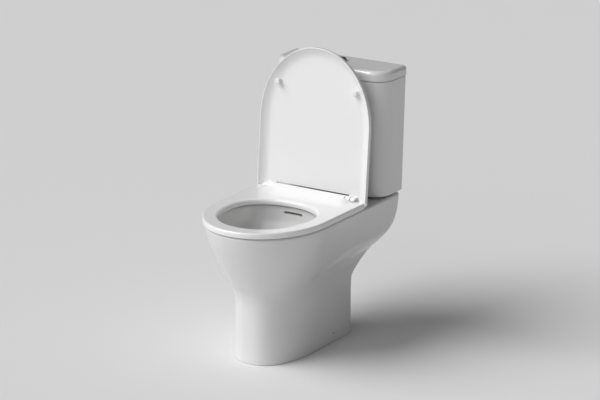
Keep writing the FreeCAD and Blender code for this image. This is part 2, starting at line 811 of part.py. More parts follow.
def tapered_tank(name, low, high, inset, radius):
    """A box that widens upwards, with its two front corners rounded."""
    item = document.addObject("Part::Wedge", name + "_wedge")
    foot_half = dim("cistern_half_width") - inset
    top_half = dim("cistern_top_half_width") - inset
    limits = {
        "Xmin": -foot_half, "Xmax": foot_half, "X2min": -top_half, "X2max": top_half,
        "Ymin": 0.0, "Ymax": high - low,
        "Zmin": inset - wall, "Zmax": dim("cistern_depth") - inset - wall,
        "Z2min": inset - wall, "Z2max": dim("cistern_top_depth") - inset - wall,
    }
    for prop, value in limits.items():
        bind(item, prop, value)
    item.Placement = FreeCAD.Placement(Vector(), FreeCAD.Rotation(Vector(1, 0, 0), 90))
    bind(item, "Placement.Base.z", low)
    document.recompute()
    rounded = document.addObject("Part::Fillet", name)
    rounded.Base = item
    corners = upright_corners(item.Shape, True)
    rounded.Edges = [(int(corner[4:]), float(radius), float(radius)) for corner in corners]
    document.recompute()
    return rounded


wall_screw_z = cistern_high - dim("wall_hole_drop")
tank = tapered_tank("TankOutside", cistern_low, cistern_high, 0.0, dim("cistern_corner"))
tank_inside = tapered_tank("TankInside", cistern_floor, cistern_high, dim("cistern_wall"),
                           dim("cistern_corner") - dim("cistern_wall"))
shell = subtract("TankShell", tank, tank_inside)
bolt_half = dim("bolt_spacing") / 2
platform_block = block("Platform", (-bolt_half - 30.0, bolt_half + 30.0), (valve_y - 52.0, valve_y + 52.0),
                       (cistern_low + 2.0, platform))
pocket_block = block("PocketSpace", (-bolt_half - 20.0, bolt_half + 20.0), (valve_y - 44.0, valve_y + 44.0),
                     (cistern_low - 1.0, pocket_top))
tank_holes = [pocket_block, rod("tail_hole", dim("tail_radius") + 1.5, 60.0, 0.0, valve_y, cistern_low)]
for side in (-1, 1):
    bolt_hole = dim("bolt_radius") + 1.5
    screw_x = side * dim("wall_hole_spacing") / 2
    tank_holes.append(rod("bolt_hole", bolt_hole, 60.0, side * bolt_half, valve_y, cistern_low))
    tank_holes.append(rod("wall_hole", dim("wall_hole_radius"), 40.0, screw_x, wall - 20.0,
                          wall_screw_z, "Y"))
tank_holes.append(rod("inlet_hole", dim("inlet_radius") + 1.5, 40.0, inlet_x, inlet_y, cistern_low - 5.0))
keep(subtract("Cistern", join("TankWithPlatform", shell, platform_block), *tank_holes), "cistern")

cover_half = dim("cistern_top_half_width") + dim("cistern_lid_overhang")
cover_front = from_wall(dim("cistern_top_depth") + dim("cistern_lid_overhang"))
cover = new_body("CoverSlab")
cover_sketch = new_sketch(cover, "cover_outline", offset=cistern_high)
draw_polygon(cover_sketch, rectangle((-cover_half, cover_half), (cover_front, wall)))
cover_pad = pad(cover, cover_sketch, dim("cistern_lid_thickness"))
document.recompute()
cover_round = round_edges(cover, cover_pad, upright_corners(cover_pad.Shape, True),
                          dim("cistern_corner") + dim("cistern_lid_overhang"))
document.recompute()


def on_top(edge):
    box = edge.BoundBox
    high = float(cistern_lid_high)
    return abs(box.ZMin - high) < 0.01 and abs(box.ZMax - high) < 0.01


round_edges(cover, cover_round, edges_where(cover_round.Shape, on_top), dim("cistern_lid_round"))
document.recompute()
BEZEL_COLLAR = 23.0
BUTTON_CLEARANCE = 0.3
cover_hole = rod("CoverHole", BEZEL_COLLAR + 0.5, dim("cistern_lid_thickness") + 4.0, 0.0, valve_y,
                 cistern_high - 2.0)
lid_ceiling = cistern_lid_high - dim("cistern_lid_skin")
ribs = []
for side in (-1, 1):
    rib_far = dim("cistern_top_half_width") - dim("cistern_wall") - 2.0
    rib_x = (rib_far - 4.0, rib_far) if side > 0 else (-rib_far, -rib_far + 4.0)
    rib_z = (cistern_high - 8.0, lid_ceiling + 1.0)
    ribs.append(block("cover_rib", rib_x, (from_wall(66.0), from_wall(26.0)), rib_z))
cover_hollow = block("CoverHollow", (14.0 - cover_half, cover_half - 14.0), (cover_front + 14.0, wall - 14.0),
                     (cistern_high - 1.0, lid_ceiling))
hollow_cover = subtract("HollowCover", cover, cover_hollow)
keep(subtract("CisternLid", join("CoverWithRibs", hollow_cover, *ribs), cover_hole), "cistern_lid")

# ---------------------------------------------------------------- flush buttons

rise = dim("button_rise")
collar_low = -dim("cistern_lid_skin") - 12.0
button_bore = BEZEL_COLLAR - 2.0
keep(turned("ButtonBezel", 0.0, valve_y, cistern_lid_high, [
    (button_bore, collar_low),
    (BEZEL_COLLAR, collar_low),
    (BEZEL_COLLAR, 0.0),
    (dim("button_radius"), 0.0),
    (dim("button_radius") - 1.0, rise),
    (button_bore, rise),
    (button_bore, -13.0),
    (button_bore - 3.0, -13.0),
    (button_bore - 3.0, -16.0),
    (button_bore, -16.0),
]), "button_bezel")
keep(nut("BezelNut", 31.0, BEZEL_COLLAR + 0.05, 8.0, 0.0, valve_y, lid_ceiling - 8.0), "bezel_nut")

SPLIT = 5.0
BUTTON_THICKNESS = 6.0
button_low = cistern_lid_high + rise - 0.5 - BUTTON_THICKNESS
cage_low = platform + 9.0
cage_high = cage_low + dim("cage_height")
HEAD_HEIGHT = 40.0
head_high = cage_high + HEAD_HEIGHT
rod_low = head_high - 12.0
for name, limits, stem_x in (("full", (-30.0, SPLIT - 0.3), -8.0), ("half", (SPLIT + 0.3, 30.0), 12.0)):
    disc = rod(name + "_disc", button_bore - BUTTON_CLEARANCE, BUTTON_THICKNESS, 0.0, valve_y, button_low)
    half_space = (valve_y - 30.0, valve_y + 30.0)
    side = block(name + "_side", limits, half_space, (button_low - 1.0, button_low + 9.0))
    button = document.addObject("Part::Common", name + "_button")
    button.Base = disc
    button.Tool = side
    keep(button, name + "_flush_button")
    keep(rod(name + "_rod", 2.5, button_low - rod_low, stem_x, valve_y, rod_low), name + "_push_rod")

# ---------------------------------------------------------------- flush valve

WASHER = 3.0
tail_low = pocket_top - dim("tail_length") - platform
keep(turned("ValveBase", 0.0, valve_y, platform, [
    (dim("tail_bore"), tail_low),
    (dim("tail_radius"), tail_low),
    (dim("tail_radius"), WASHER),
    (dim("cage_radius") + 2.0, WASHER),
    (dim("cage_radius") + 2.0, 9.0),
    (dim("tail_radius") + 2.0, 9.0),
    (dim("tail_radius") + 2.0, 14.0),
    (dim("tail_bore"), 14.0),
]), "flush_valve_base")
keep(ring("ValveWasher", dim("cage_radius"), dim("tail_radius") + 0.3, WASHER, 0.0, valve_y, platform),
     "flush_valve_washer")

cage = turned("Cage", 0.0, valve_y, cage_low, [
    (dim("cage_radius") - 3.0, 0.0),
    (dim("cage_radius"), 0.0),
    (dim("cage_radius"), dim("cage_height")),
    (dim("cage_radius") - 3.0, dim("cage_height")),
])
window_sketch = new_sketch(cage, "cage_window", "XZ_Plane")
draw_polygon(window_sketch, rectangle((-18.0, 18.0), (8.0, dim("cage_height") * 0.6)))
document.recompute()
cage_full = cage.Shape.Volume
window_cut = cage.newObject("PartDesign::Pocket", "cage_windows")
window_cut.Profile = window_sketch
window_cut.Type = "ThroughAll"
window_cut.Midplane = True
document.recompute()
window_pattern = cage.newObject("PartDesign::PolarPattern", "cage_window_pattern")
window_pattern.Originals = [window_cut]
window_pattern.Axis = (origin_item(cage, "Z_Axis"), [""])
window_pattern.Angle = 90
window_pattern.Occurrences = 2
cage.Tip = window_pattern
document.recompute()
if cage.Shape.Volume > cage_full * 0.8:
    raise RuntimeError("the cage's windows are not all cut")
keep(cage, "flush_valve_cage")

head_outer = dim("cage_radius") - 6.0
head_cup = subtract("HeadCup", rod("head_outside", head_outer + 6.0, HEAD_HEIGHT, 0.0, valve_y, cage_high),
                    rod("head_inside", head_outer, HEAD_HEIGHT - 4.0, 0.0, valve_y, cage_high))
keep(subtract("ValveHead", head_cup,
              rod("full_guide", 3.2, 20.0, -8.0, valve_y, head_high - 10.0),
              rod("half_guide", 3.2, 20.0, 12.0, valve_y, head_high - 10.0)), "flush_valve_head")

seal_low = platform + 14.0
overflow_high = rod_low - dim("button_travel") - dim("flush_lift") - 4.0
keep(ring("Overflow", dim("overflow_radius"), dim("overflow_radius") - 2.0, overflow_high - seal_low,
          0.0, valve_y, seal_low), "overflow_tube")
keep(ring("Seal", dim("tail_radius") + 4.0, dim("overflow_radius"), 4.0, 0.0, valve_y, seal_low),
     "flush_seal")

PLATE = 3.0
plate_low = pocket_top - PLATE
coupling = block("PlateBlank", (-bolt_half - 15.0, bolt_half + 15.0), (valve_y - 38.0, valve_y + 38.0),
                 (plate_low, pocket_top))
plate_holes = [rod("plate_hole", dim("tail_radius") + 1.0, 10.0, 0.0, valve_y, plate_low - 2.0)]
for side in (-1, 1):
    plate_holes.append(rod("plate_bolt_hole", dim("bolt_radius") + 1.0, 10.0, side * bolt_half, valve_y,
                           plate_low - 2.0))
keep(subtract("CouplingPlate", coupling, *plate_holes), "coupling_plate")
BACK_NUT = 10.0
keep(nut("ValveNut", dim("tail_radius") + 6.0, dim("tail_radius") + 0.1, BACK_NUT, 0.0, valve_y,
         plate_low - BACK_NUT), "flush_valve_back_nut")
keep(ring("Doughnut", RECESS_RADIUS - 2.0, dim("tail_radius") + 7.5, plate_low - rim + RECESS_DEPTH,
          0.0, valve_y, rim - RECESS_DEPTH), "doughnut_washer")

bolts = []
bolt_washers = []
bolt_nuts = []
for side in (-1, 1):
    bolt_x = side * bolt_half
    bolt_low = deck_low - 26.0
    bolt_head = document.addObject("Part::Prism", "bolt_head")
    bolt_head.Polygon = 6
    bind(bolt_head, "Circumradius", dim("bolt_radius") * 2)
    bind(bolt_head, "Height", 6.0)
    place(bolt_head, bolt_x, valve_y, platform + WASHER)
    shank = rod("bolt_shank", dim("bolt_radius"), platform + WASHER - bolt_low, bolt_x, valve_y, bolt_low)
    bolts.append(join("bolt", bolt_head, shank))
    bolt_washers.append(ring("bolt_washer", dim("bolt_radius") + 9.0, dim("bolt_radius") + 0.2, WASHER,
                             bolt_x, valve_y, platform))
    bolt_nuts.append(wing_nut("bolt_nut", dim("bolt_radius") + 0.1, bolt_x, valve_y, deck_low))
keep(join("CouplingBolts", *bolts), "coupling_bolts")
keep(join("BoltWashers", *bolt_washers), "coupling_bolt_washers")
keep(join("BoltNuts", *bolt_nuts), "coupling_wing_nuts")

# ---------------------------------------------------------------- fill valve

column = dim("column_radius")
COLUMN_HEIGHT = 200.0
INLET_NUT = 9.0
column_tail = cistern_low - dim("inlet_length") - cistern_floor
neck_low = cistern_low - INLET_NUT - 1.5 - cistern_floor
keep(turned("Column", inlet_x, inlet_y, cistern_floor, [
    (dim("inlet_radius") - 3.5, column_tail),
    (dim("inlet_radius"), column_tail),
    (dim("inlet_radius"), neck_low),
    (dim("inlet_radius") - 0.3, neck_low),
    (dim("inlet_radius") - 0.3, WASHER),
    (column + 5.0, WASHER),
    (column + 5.0, WASHER + 6.0),
    (column, WASHER + 6.0),
    (column, COLUMN_HEIGHT),
    (dim("inlet_radius") - 3.5, COLUMN_HEIGHT),
]), "fill_valve_column")
keep(ring("InletWasher", column + 4.0, dim("inlet_radius") + 0.3, WASHER, inlet_x, inlet_y, cistern_floor),
     "fill_valve_washer")
keep(nut("InletNut", dim("inlet_radius") + 5.5, dim("inlet_radius") + 0.1, INLET_NUT, inlet_x, inlet_y,
         cistern_low - INLET_NUT), "fill_valve_back_nut")

head_low = cistern_floor + COLUMN_HEIGHT
pivot_z = head_low + 50.0
head_cap = turned("FillHeadCap", inlet_x, inlet_y, head_low, [
    (0.0, 0.0),
    (column + 8.0, 0.0),
    (column + 8.0, 36.0),
    (column + 3.0, 42.0),
    (0.0, 42.0),
])
ears = []
for side in (-1, 1):
    ear_y = inlet_y + side * 5.5
    ear_z = (pivot_z - 9.0, pivot_z + 4.0)
    ears.append(block("ear", (inlet_x - 5.0, inlet_x + 5.0), (ear_y - 1.5, ear_y + 1.5), ear_z))
PIVOT_RADIUS = 1.5
fill_head = join("FillHeadBlank", head_cap, *ears)
pivot_hole = rod("pivot_hole", PIVOT_RADIUS, 30.0, inlet_x, inlet_y - 15.0, pivot_z, "Y")
keep(subtract("FillHead", fill_head, pivot_hole), "fill_valve_head")
keep(rod("PivotPin", PIVOT_RADIUS, 16.0, inlet_x, inlet_y - 8.0, pivot_z, "Y"), "lever_pivot_pin")

float_rod_x = inlet_x + 25.5
lever_bar = block("lever_bar", (inlet_x - 4.0, float_rod_x + 5.0), (inlet_y - 3.0, inlet_y + 3.0),
                  (pivot_z - 3.0, pivot_z + 3.0))
lever_bore = rod("lever_bore", PIVOT_RADIUS + PIN_CLEARANCE, 20.0, inlet_x, inlet_y - 10.0, pivot_z, "Y")
keep(subtract("Lever", lever_bar, lever_bore), "fill_valve_lever")
FLOAT_LOW = 30.0
FLOAT_HEIGHT = 62.0
float_low = cistern_floor + FLOAT_LOW
float_high = float_low + FLOAT_HEIGHT
keep(ring("Float", dim("float_radius"), column + 1.5, FLOAT_HEIGHT, inlet_x, inlet_y, float_low),
     "fill_valve_float")
keep(rod("FloatRod", 2.0, pivot_z - 3.4 - float_high, float_rod_x, inlet_y, float_high), "float_rod")

# ---------------------------------------------------------------- floor fixings

foot_inside = dim("foot_half_width") - dim("china")
side_y = from_wall(dim("side_hole_depth"))
side_z = dim("side_hole_height")
brackets = []
screws = []
caps = []
for side in (-1, 1):
    leg_x = (foot_inside - 4.0, foot_inside) if side > 0 else (-foot_inside, -foot_inside + 4.0)
    pad_x = (foot_inside - 34.0, foot_inside) if side > 0 else (-foot_inside, -foot_inside + 34.0)
    leg = block("bracket_leg", leg_x, (side_y - 18.0, side_y + 18.0), (0.0, side_z + 14.0))
    flat = block("bracket_foot", pad_x, (side_y - 18.0, side_y + 18.0), (0.0, 4.0))
    screw_start = foot_inside - 14.0 if side > 0 else -(foot_inside + 5.0)
    head_start = foot_inside + 5.0 if side > 0 else -(foot_inside + 8.0)
    cap_start = foot_inside + 8.0 if side > 0 else -(foot_inside + dim("china") + 0.4)
    leg_hole = rod("bracket_hole", 2.6, 20.0, leg_x[0] - 5.0, side_y, side_z, "X")
    floor_hole = rod("floor_hole", 3.5, 12.0, side * (foot_inside - 19.0), side_y, -4.0)
    brackets.append(subtract("bracket", join("bracket_blank", leg, flat), leg_hole, floor_hole))
    shank = rod("screw_shank", 2.5, 19.0, screw_start, side_y, side_z, "X")
    head_disc = rod("screw_head", dim("side_hole_radius") - 1.0, 3.0, head_start, side_y, side_z, "X")
    screws.append(join("side_screw", shank, head_disc))
    cap_length = dim("china") - 8.0 + 0.4
    caps.append(rod("side_cap", dim("side_hole_radius") - 0.2, cap_length, cap_start, side_y, side_z, "X"))
keep(join("FloorBrackets", *brackets), "floor_brackets")
keep(join("SideScrews", *screws), "side_fixing_screws")
keep(join("SideCaps", *caps), "side_screw_caps")

# ---------------------------------------------------------------- closing

def check_document():
    document.recompute()
    for item in document.Objects:
        if "Invalid" in item.State or "Error" in item.State:
            raise RuntimeError(f"{item.Name} failed: {item.State}")
    for item in pieces:
        if item.Shape.isNull() or not item.Shape.isValid():
            raise RuntimeError(f"{item.Label} has no valid shape")


def export():
    os.makedirs("parts", exist_ok=True)
    for item in pieces:
        item.Shape.exportStep(f"parts/{item.Label}.step")
        solids = len(item.Shape.Solids)
        print(f"{item.Label:28s} {solids} solid(s) {item.Shape.Volume / 1000:10.2f} cm3")


check_document()
export()
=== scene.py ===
"""Close coupled toilet: the finished surfaces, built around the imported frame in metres.

The frame has +Z up, -Y towards the user and the wall on +Y. Depths are measured from the wall.
"""
import bmesh
import bpy
import math
from mathutils import Matrix, Vector


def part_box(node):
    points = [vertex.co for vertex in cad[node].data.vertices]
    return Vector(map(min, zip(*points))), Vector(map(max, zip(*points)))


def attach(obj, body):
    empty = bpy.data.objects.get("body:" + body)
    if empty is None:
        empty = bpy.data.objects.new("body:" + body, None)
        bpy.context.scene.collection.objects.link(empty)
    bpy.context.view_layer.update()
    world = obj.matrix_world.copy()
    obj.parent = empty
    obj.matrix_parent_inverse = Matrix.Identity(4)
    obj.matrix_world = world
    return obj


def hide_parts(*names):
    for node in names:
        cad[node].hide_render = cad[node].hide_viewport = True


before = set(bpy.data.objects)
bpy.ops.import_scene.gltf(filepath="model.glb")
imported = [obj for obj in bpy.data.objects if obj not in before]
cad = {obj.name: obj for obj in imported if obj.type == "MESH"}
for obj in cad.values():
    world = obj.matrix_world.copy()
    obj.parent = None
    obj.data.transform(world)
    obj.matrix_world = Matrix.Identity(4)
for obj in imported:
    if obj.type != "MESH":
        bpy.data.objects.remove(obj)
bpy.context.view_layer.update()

scene = bpy.context.scene

# ------------------------------------------------------------------ studio
# A pale floor, one wide soft light high ahead on the left, a weak even fill, and a long lens that
# looks down a little on the open seat. None of this is part of the toilet.

VIEW_AZIMUTH = math.radians(32.73)
VIEW_ELEVATION = math.radians(17.19)
VIEW_DISTANCE = 7.754
VIEW_AIM = Vector((0.0, 0.047, 0.419))
LENS = 161.53
FLOOR_HALF = 15.0
FLOOR_TONE = (0.80, 0.80, 0.80, 1.0)
FLOOR_ROUGHNESS = 0.7
WORLD_TONE = (0.90, 0.90, 0.90, 1.0)
WORLD_STRENGTH = 0.16

scene.view_settings.view_transform = "Standard"
scene.render.film_transparent = False


def towards(azimuth, elevation):
    """The direction from the object to a place round it, as the camera's angles count it."""
    flat = math.cos(elevation)
    return Vector((math.sin(azimuth) * flat, -math.cos(azimuth) * flat, math.sin(elevation)))


camera = bpy.data.objects.new("camera", bpy.data.cameras.new("camera"))
camera.data.lens = LENS
camera.data.clip_end = 60.0
back = towards(VIEW_AZIMUTH, VIEW_ELEVATION)
camera.location = VIEW_AIM + back * VIEW_DISTANCE
camera.rotation_mode = "QUATERNION"
camera.rotation_quaternion = (-back).to_track_quat("-Z", "Y")
scene.collection.objects.link(camera)
scene.camera = camera


def soft_sun(name, azimuth, elevation, spread, strength):
    """A sun at angles in degrees; the spread is how wide it looks, which softens its shadows."""
    sun = bpy.data.objects.new(name, bpy.data.lights.new(name, "SUN"))
    sun.data.angle = math.radians(spread)
    sun.data.energy = strength
    away = towards(math.radians(azimuth), math.radians(elevation))
    sun.location = away * 3.0
    sun.rotation_mode = "QUATERNION"
    sun.rotation_quaternion = away.to_track_quat("Z", "Y")
    scene.collection.objects.link(sun)


soft_sun("key", azimuth=-50, elevation=46, spread=44, strength=2.5)
soft_sun("fill", azimuth=-5, elevation=30, spread=60, strength=0.6)

world = bpy.data.worlds.new("studio")
world.use_nodes = True
world.node_tree.nodes["Background"].inputs["Color"].default_value = WORLD_TONE
world.node_tree.nodes["Background"].inputs["Strength"].default_value = WORLD_STRENGTH
scene.world = world

floor_mesh = bpy.data.meshes.new("floor")
floor_mesh.from_pydata([(-FLOOR_HALF, -FLOOR_HALF, 0), (FLOOR_HALF, -FLOOR_HALF, 0),
                        (FLOOR_HALF, FLOOR_HALF, 0), (-FLOOR_HALF, FLOOR_HALF, 0)], [], [(0, 1, 2, 3)])
floor = bpy.data.objects.new("floor", floor_mesh)
scene.collection.objects.link(floor)
floor_paint = bpy.data.materials.new("floor_paint")
floor_paint.use_nodes = True
floor_paint.node_tree.nodes["Principled BSDF"].inputs["Base Color"].default_value = FLOOR_TONE
floor_paint.node_tree.nodes["Principled BSDF"].inputs["Roughness"].default_value = FLOOR_ROUGHNESS
floor_mesh.materials.append(floor_paint)

# ------------------------------------------------------------------ china pan
# One casting of vitreous china: a pedestal that swells forward into the bowl and back into the
# shelf for the cistern. It is hollow under the shelf, where the trapway runs to the outlet spigot.

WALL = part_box("cistern")[1].y
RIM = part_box("pan")[1].z
SKIN = 0.011
DECK = 0.014
RIM_ROUND = 0.0065
RIM_FLAT_FROM = RIM_ROUND + 0.0015
FOOT_ROUND = 0.003
FOOT_EXPONENT = 2.5
FOOT_HALF = 0.106
FOOT_FRONT = 0.544
FOOT_WIDEST = 0.331
FOOT_BACK = 0.147
RIM_EXPONENT = 2.03
RIM_HALF = 0.181
RIM_FRONT = 0.639
RIM_WIDEST = 0.422
SHELF_HALF = 0.180
SHELF_BACK = 0.002
SHELF_CORNER = 0.024
PAN_MIDDLE = 0.3
BOWL_CENTRE = 0.430

# Height as a share of the rim's, then how far the front has swelled from the foot's outline to
# the rim's, how far the back has reached out to the wall, and how far the back has widened.
PAN_STATIONS = [
    (0.000, 0.00, 0.00, 0.00),
    (0.150, 0.00, 0.00, 0.00),
    (0.300, 0.00, 0.00, 0.00),
    (0.425, 0.00, 0.02, 0.00),
    (0.507, 0.06, 0.25, 0.03),
    (0.582, 0.225, 0.55, 0.12),
    (0.656, 0.405, 0.76, 0.42),
    (0.730, 0.57, 0.90, 0.70),
    (0.817, 0.74, 0.965, 0.88),
    (0.903, 0.885, 0.985, 0.97),
    (1.000, 1.00, 1.00, 1.00),
]

# Height as a share of the way from the sump's floor to the rim, then the width, the front and
# the back as shares of the way from the sump's outline to the mouth's.
BOWL_STATIONS = [
    (0.00, 0.00, 0.00, 0.00),
    (0.10, 0.12, 0.10, 0.06),
    (0.30, 0.18, 0.22, 0.12),
    (0.48, 0.26, 0.36, 0.22),
    (0.58, 0.42, 0.52, 0.38),
    (0.69, 0.70, 0.76, 0.62),
    (0.80, 0.94, 0.94, 0.88),
    (0.89, 1.01, 1.00, 1.00),
    (1.00, 1.00, 1.00, 1.00),
]
SUMP_FLOOR = 0.072
SUMP_ROUND = 0.020
SUMP = {"half": 0.040, "front": 0.470, "back": 0.376, "widest": 0.424}
MOUTH = {"half": 0.148, "front": 0.609, "back": 0.309, "widest": 0.430}


def between(low, high, share):
    return low + (high - low) * share


def eased(stations, column, at):
    """Read one column of a station table at a height, along a curve that never overshoots it."""
    heights = [station[0] for station in stations]
    values = [station[column] for station in stations]
    at = min(max(at, heights[0]), heights[-1])
    index = max(i for i in range(len(heights) - 1) if heights[i] <= at)
    slopes = [(values[i + 1] - values[i]) / (heights[i + 1] - heights[i])
              for i in range(len(heights) - 1)]

    def bend(i):
        if i == 0 or i == len(slopes):
            return slopes[min(i, len(slopes) - 1)]
        before, after = slopes[i - 1], slopes[i]
        return 0.0 if before * after <= 0 else 2 * before * after / (before + after)
    width = heights[index + 1] - heights[index]
    t = (at - heights[index]) / width
    start, finish = bend(index) * width, bend(index + 1) * width
    low, high = values[index], values[index + 1]
    return ((2 * t**3 - 3 * t**2 + 1) * low + (t**3 - 2 * t**2 + t) * start
            + (3 * t**2 - 2 * t**3) * high + (t**3 - t**2) * finish)


def round_loop(right_half):
    """A closed loop from its right half, which runs from the front's middle to the back's."""
    left_half = [(-x, y) for x, y in reversed(right_half[1:-1])]
    return right_half + left_half


def soft_box_loop(half, front, widest, exponent, back_half, back, corner, counts=(52, 40, 9, 10)):
    """A loop with a rounded front, straight sides and a flat back; depths are from the wall."""
    bow_count, side_count, corner_count, back_count = counts
    points = []
    for step in range(bow_count):
        angle = math.pi / 2 * step / bow_count
        across = math.sin(angle) ** (2 / exponent)
        ahead = math.cos(angle) ** (2 / exponent)
        points.append((half * across, WALL - widest - (front - widest) * ahead))
    turn_y = WALL - back - corner
    spread = math.radians(64)
    for step in range(side_count):
        share = math.tan(spread * step / side_count) / math.tan(spread)
        points.append((between(half, back_half, share), between(WALL - widest, turn_y, share)))
    for step in range(corner_count):
        angle = math.pi / 2 * step / corner_count
        points.append((back_half - corner + corner * math.cos(angle),
                       turn_y + corner * math.sin(angle)))
    for step in range(back_count + 1):
        points.append(((back_half - corner) * (1 - step / back_count), WALL - back))
    return round_loop(points)


TUCK_DEEP = 0.0034
TUCK_HALF = 0.019
TUCK_FROM = (-0.086, 0.227)
TUCK_TO = (0.133, 0.261)


def tuck(y, height):
    """The soft valley along each side, where the flare starts from the top of the foot."""
    share = (y - TUCK_FROM[0]) / (TUCK_TO[0] - TUCK_FROM[0])
    line = between(TUCK_FROM[1], TUCK_TO[1], share)
    ends = 1 - min(max(abs(share - 0.5) - 0.25, 0.0) / 0.35, 1.0)
    return TUCK_DEEP * ends * ends * (3 - 2 * ends) * math.exp(-((height - line) / TUCK_HALF) ** 2)


def pan_loop(height, inset=0.0):
    share = height / RIM
    front_share = eased(PAN_STATIONS, 1, share)
    back_share = eased(PAN_STATIONS, 2, share)
    width_share = eased(PAN_STATIONS, 3, share)
    loop = soft_box_loop(
        between(FOOT_HALF, RIM_HALF, front_share) - inset,
        between(FOOT_FRONT, RIM_FRONT, front_share) - inset,
        between(FOOT_WIDEST, RIM_WIDEST, front_share),
        between(FOOT_EXPONENT, RIM_EXPONENT, front_share),
        between(FOOT_HALF, SHELF_HALF, width_share) - inset,
        between(FOOT_BACK, SHELF_BACK, back_share) + inset,
        SHELF_CORNER - inset,
    )
    return [(x - math.copysign(min(tuck(y, height), abs(x)), x), y) for x, y in loop]


def egg_loop(angles, half, front, back, widest, grow=0.0, exponent=2.15):
    """An egg sampled at given angles about its widest place, counted from the front."""
    points = []
    for angle in angles:
        ahead = math.cos(angle)
        across = math.sin(angle)
        reach = (front - widest if ahead > 0 else widest - back) + grow
        bulge = (abs(across) / (half + grow)) ** exponent + (abs(ahead) / reach) ** exponent
        radius = bulge ** (-1 / exponent)
        points.append((radius * across, WALL - widest - radius * ahead))
    return points


def bowl_loop(height, angles, grow=0.0):
    share = (height - SUMP_FLOOR + grow) / (RIM - SUMP_FLOOR + grow)
    width = eased(BOWL_STATIONS, 1, share)
    fore = eased(BOWL_STATIONS, 2, share)
    aft = eased(BOWL_STATIONS, 3, share)
    return egg_loop(
        angles,
        between(SUMP["half"], MOUTH["half"], width),
        between(SUMP["front"], MOUTH["front"], fore),
        between(SUMP["back"], MOUTH["back"], aft),
        between(SUMP["widest"], MOUTH["widest"], fore),
        grow,
    )


def at_height(loop, height):
    return [(x, y, height) for x, y in loop]


def skin(rings, low_pole=None, high_pole=None):
    """Vertices and faces of a skin over rings of equal count that turn anticlockwise from above."""
    count = len(rings[0])
    vertices = [point for ring in rings for point in ring]
    faces = []
    for row in range(len(rings) - 1):
        for column in range(count):
            after = (column + 1) % count
            faces.append((row * count + column, row * count + after,
                          (row + 1) * count + after, (row + 1) * count + column))
    for pole, row in ((low_pole, 0), (high_pole, len(rings) - 1)):
        if pole is None:
            continue
        centre = len(vertices)
        vertices.append(pole)
        for column in range(count):
            here = row * count + column
            there = row * count + (column + 1) % count
            faces.append((centre, there, here) if row == 0 else (centre, here, there))
    return vertices, faces


def solid(name, vertices, faces):
    mesh = bpy.data.meshes.new(name)
    mesh.from_pydata(vertices, [], faces)
    mesh.validate()
    piece = bpy.data.objects.new(name, mesh)
    scene.collection.objects.link(piece)
    return piece


def combine(piece, tool, operation="DIFFERENCE"):
    """Cut a closed solid from a piece, or join it on, and throw the tool away."""
    modifier = piece.modifiers.new("combine", "BOOLEAN")
    modifier.object = tool
    modifier.operation = operation
    modifier.solver = "MANIFOLD"
    graph = bpy.context.evaluated_depsgraph_get()
    made = bpy.data.meshes.new_from_object(piece.evaluated_get(graph))
    piece.modifiers.clear()
    piece.data = made
    bpy.data.objects.remove(tool)
    return piece


def column(name, radius, low, high, x, y, count=48):
    """A closed upright cylinder."""
    rings = []
    for height in (low, high):
        rings.append([(x + radius * math.cos(2 * math.pi * i / count),
                       y + radius * math.sin(2 * math.pi * i / count), height) for i in range(count)])
    return solid(name, *skin(rings, (x, y, low), (x, y, high)))


def block(name, x, y, z):
    """A closed box between pairs of limits."""
    rings = [[(x[0], y[0], height), (x[1], y[0], height), (x[1], y[1], height), (x[0], y[1], height)]
             for height in z]
    vertices, faces = skin(rings)
    return solid(name, vertices, faces + [(3, 2, 1, 0), (4, 5, 6, 7)])


def lying(piece, x, y, z, along="X"):
    """Turn an upright piece that was made about the origin so that it lies along X or Y."""
    turn = Matrix.Rotation(math.pi / 2, 4, "Y")
    if along == "Y":
        turn = Matrix.Rotation(-math.pi / 2, 4, "X")
    piece.data.transform(Matrix.Translation((x, y, z)) @ turn)
    return piece


def tube(name, route, radius, bend, count=40):
    """A closed round tube in the plane x=0, along straight runs joined by arcs of one radius."""
    points = [Vector((0.0, WALL - depth, z)) for depth, z in route]
    path = [points[0]]
    for before, corner, after in zip(points, points[1:], points[2:]):
        into = (corner - before).normalized()
        out = (after - corner).normalized()
        half_turn = into.angle(out) / 2
        reach = bend * math.tan(half_turn)
        middle = corner + (out - into).normalized() * bend / math.cos(half_turn)
        enter = corner - into * reach
        turn = into.cross(out).x
        steps = 14
        for step in range(steps + 1):
            angle = math.copysign(2 * half_turn * step / steps, turn)
            path.append(middle + Matrix.Rotation(angle, 3, "X") @ (enter - middle))
    path.append(points[-1])
    rings = []
    for index, point in enumerate(path):
        ahead = path[min(index + 1, len(path) - 1)] - path[max(index - 1, 0)]
        ahead.normalize()
        up = Vector((1, 0, 0)).cross(ahead)
        rings.append([tuple(point + radius * (math.cos(a) * Vector((1, 0, 0)) + math.sin(a) * up))
                      for a in (-2 * math.pi * i / count for i in range(count))])
    return solid(name, *skin(rings, tuple(path[0]), tuple(path[-1])))


def arc_steps(count):
    """How far a rounded edge has still to fall, and how far it has drawn in, along a quarter turn."""
    angles = [math.pi / 2 * step / count for step in range(count + 1)]
    return [(1 - math.sin(angle), 1 - math.cos(angle)) for angle in angles]


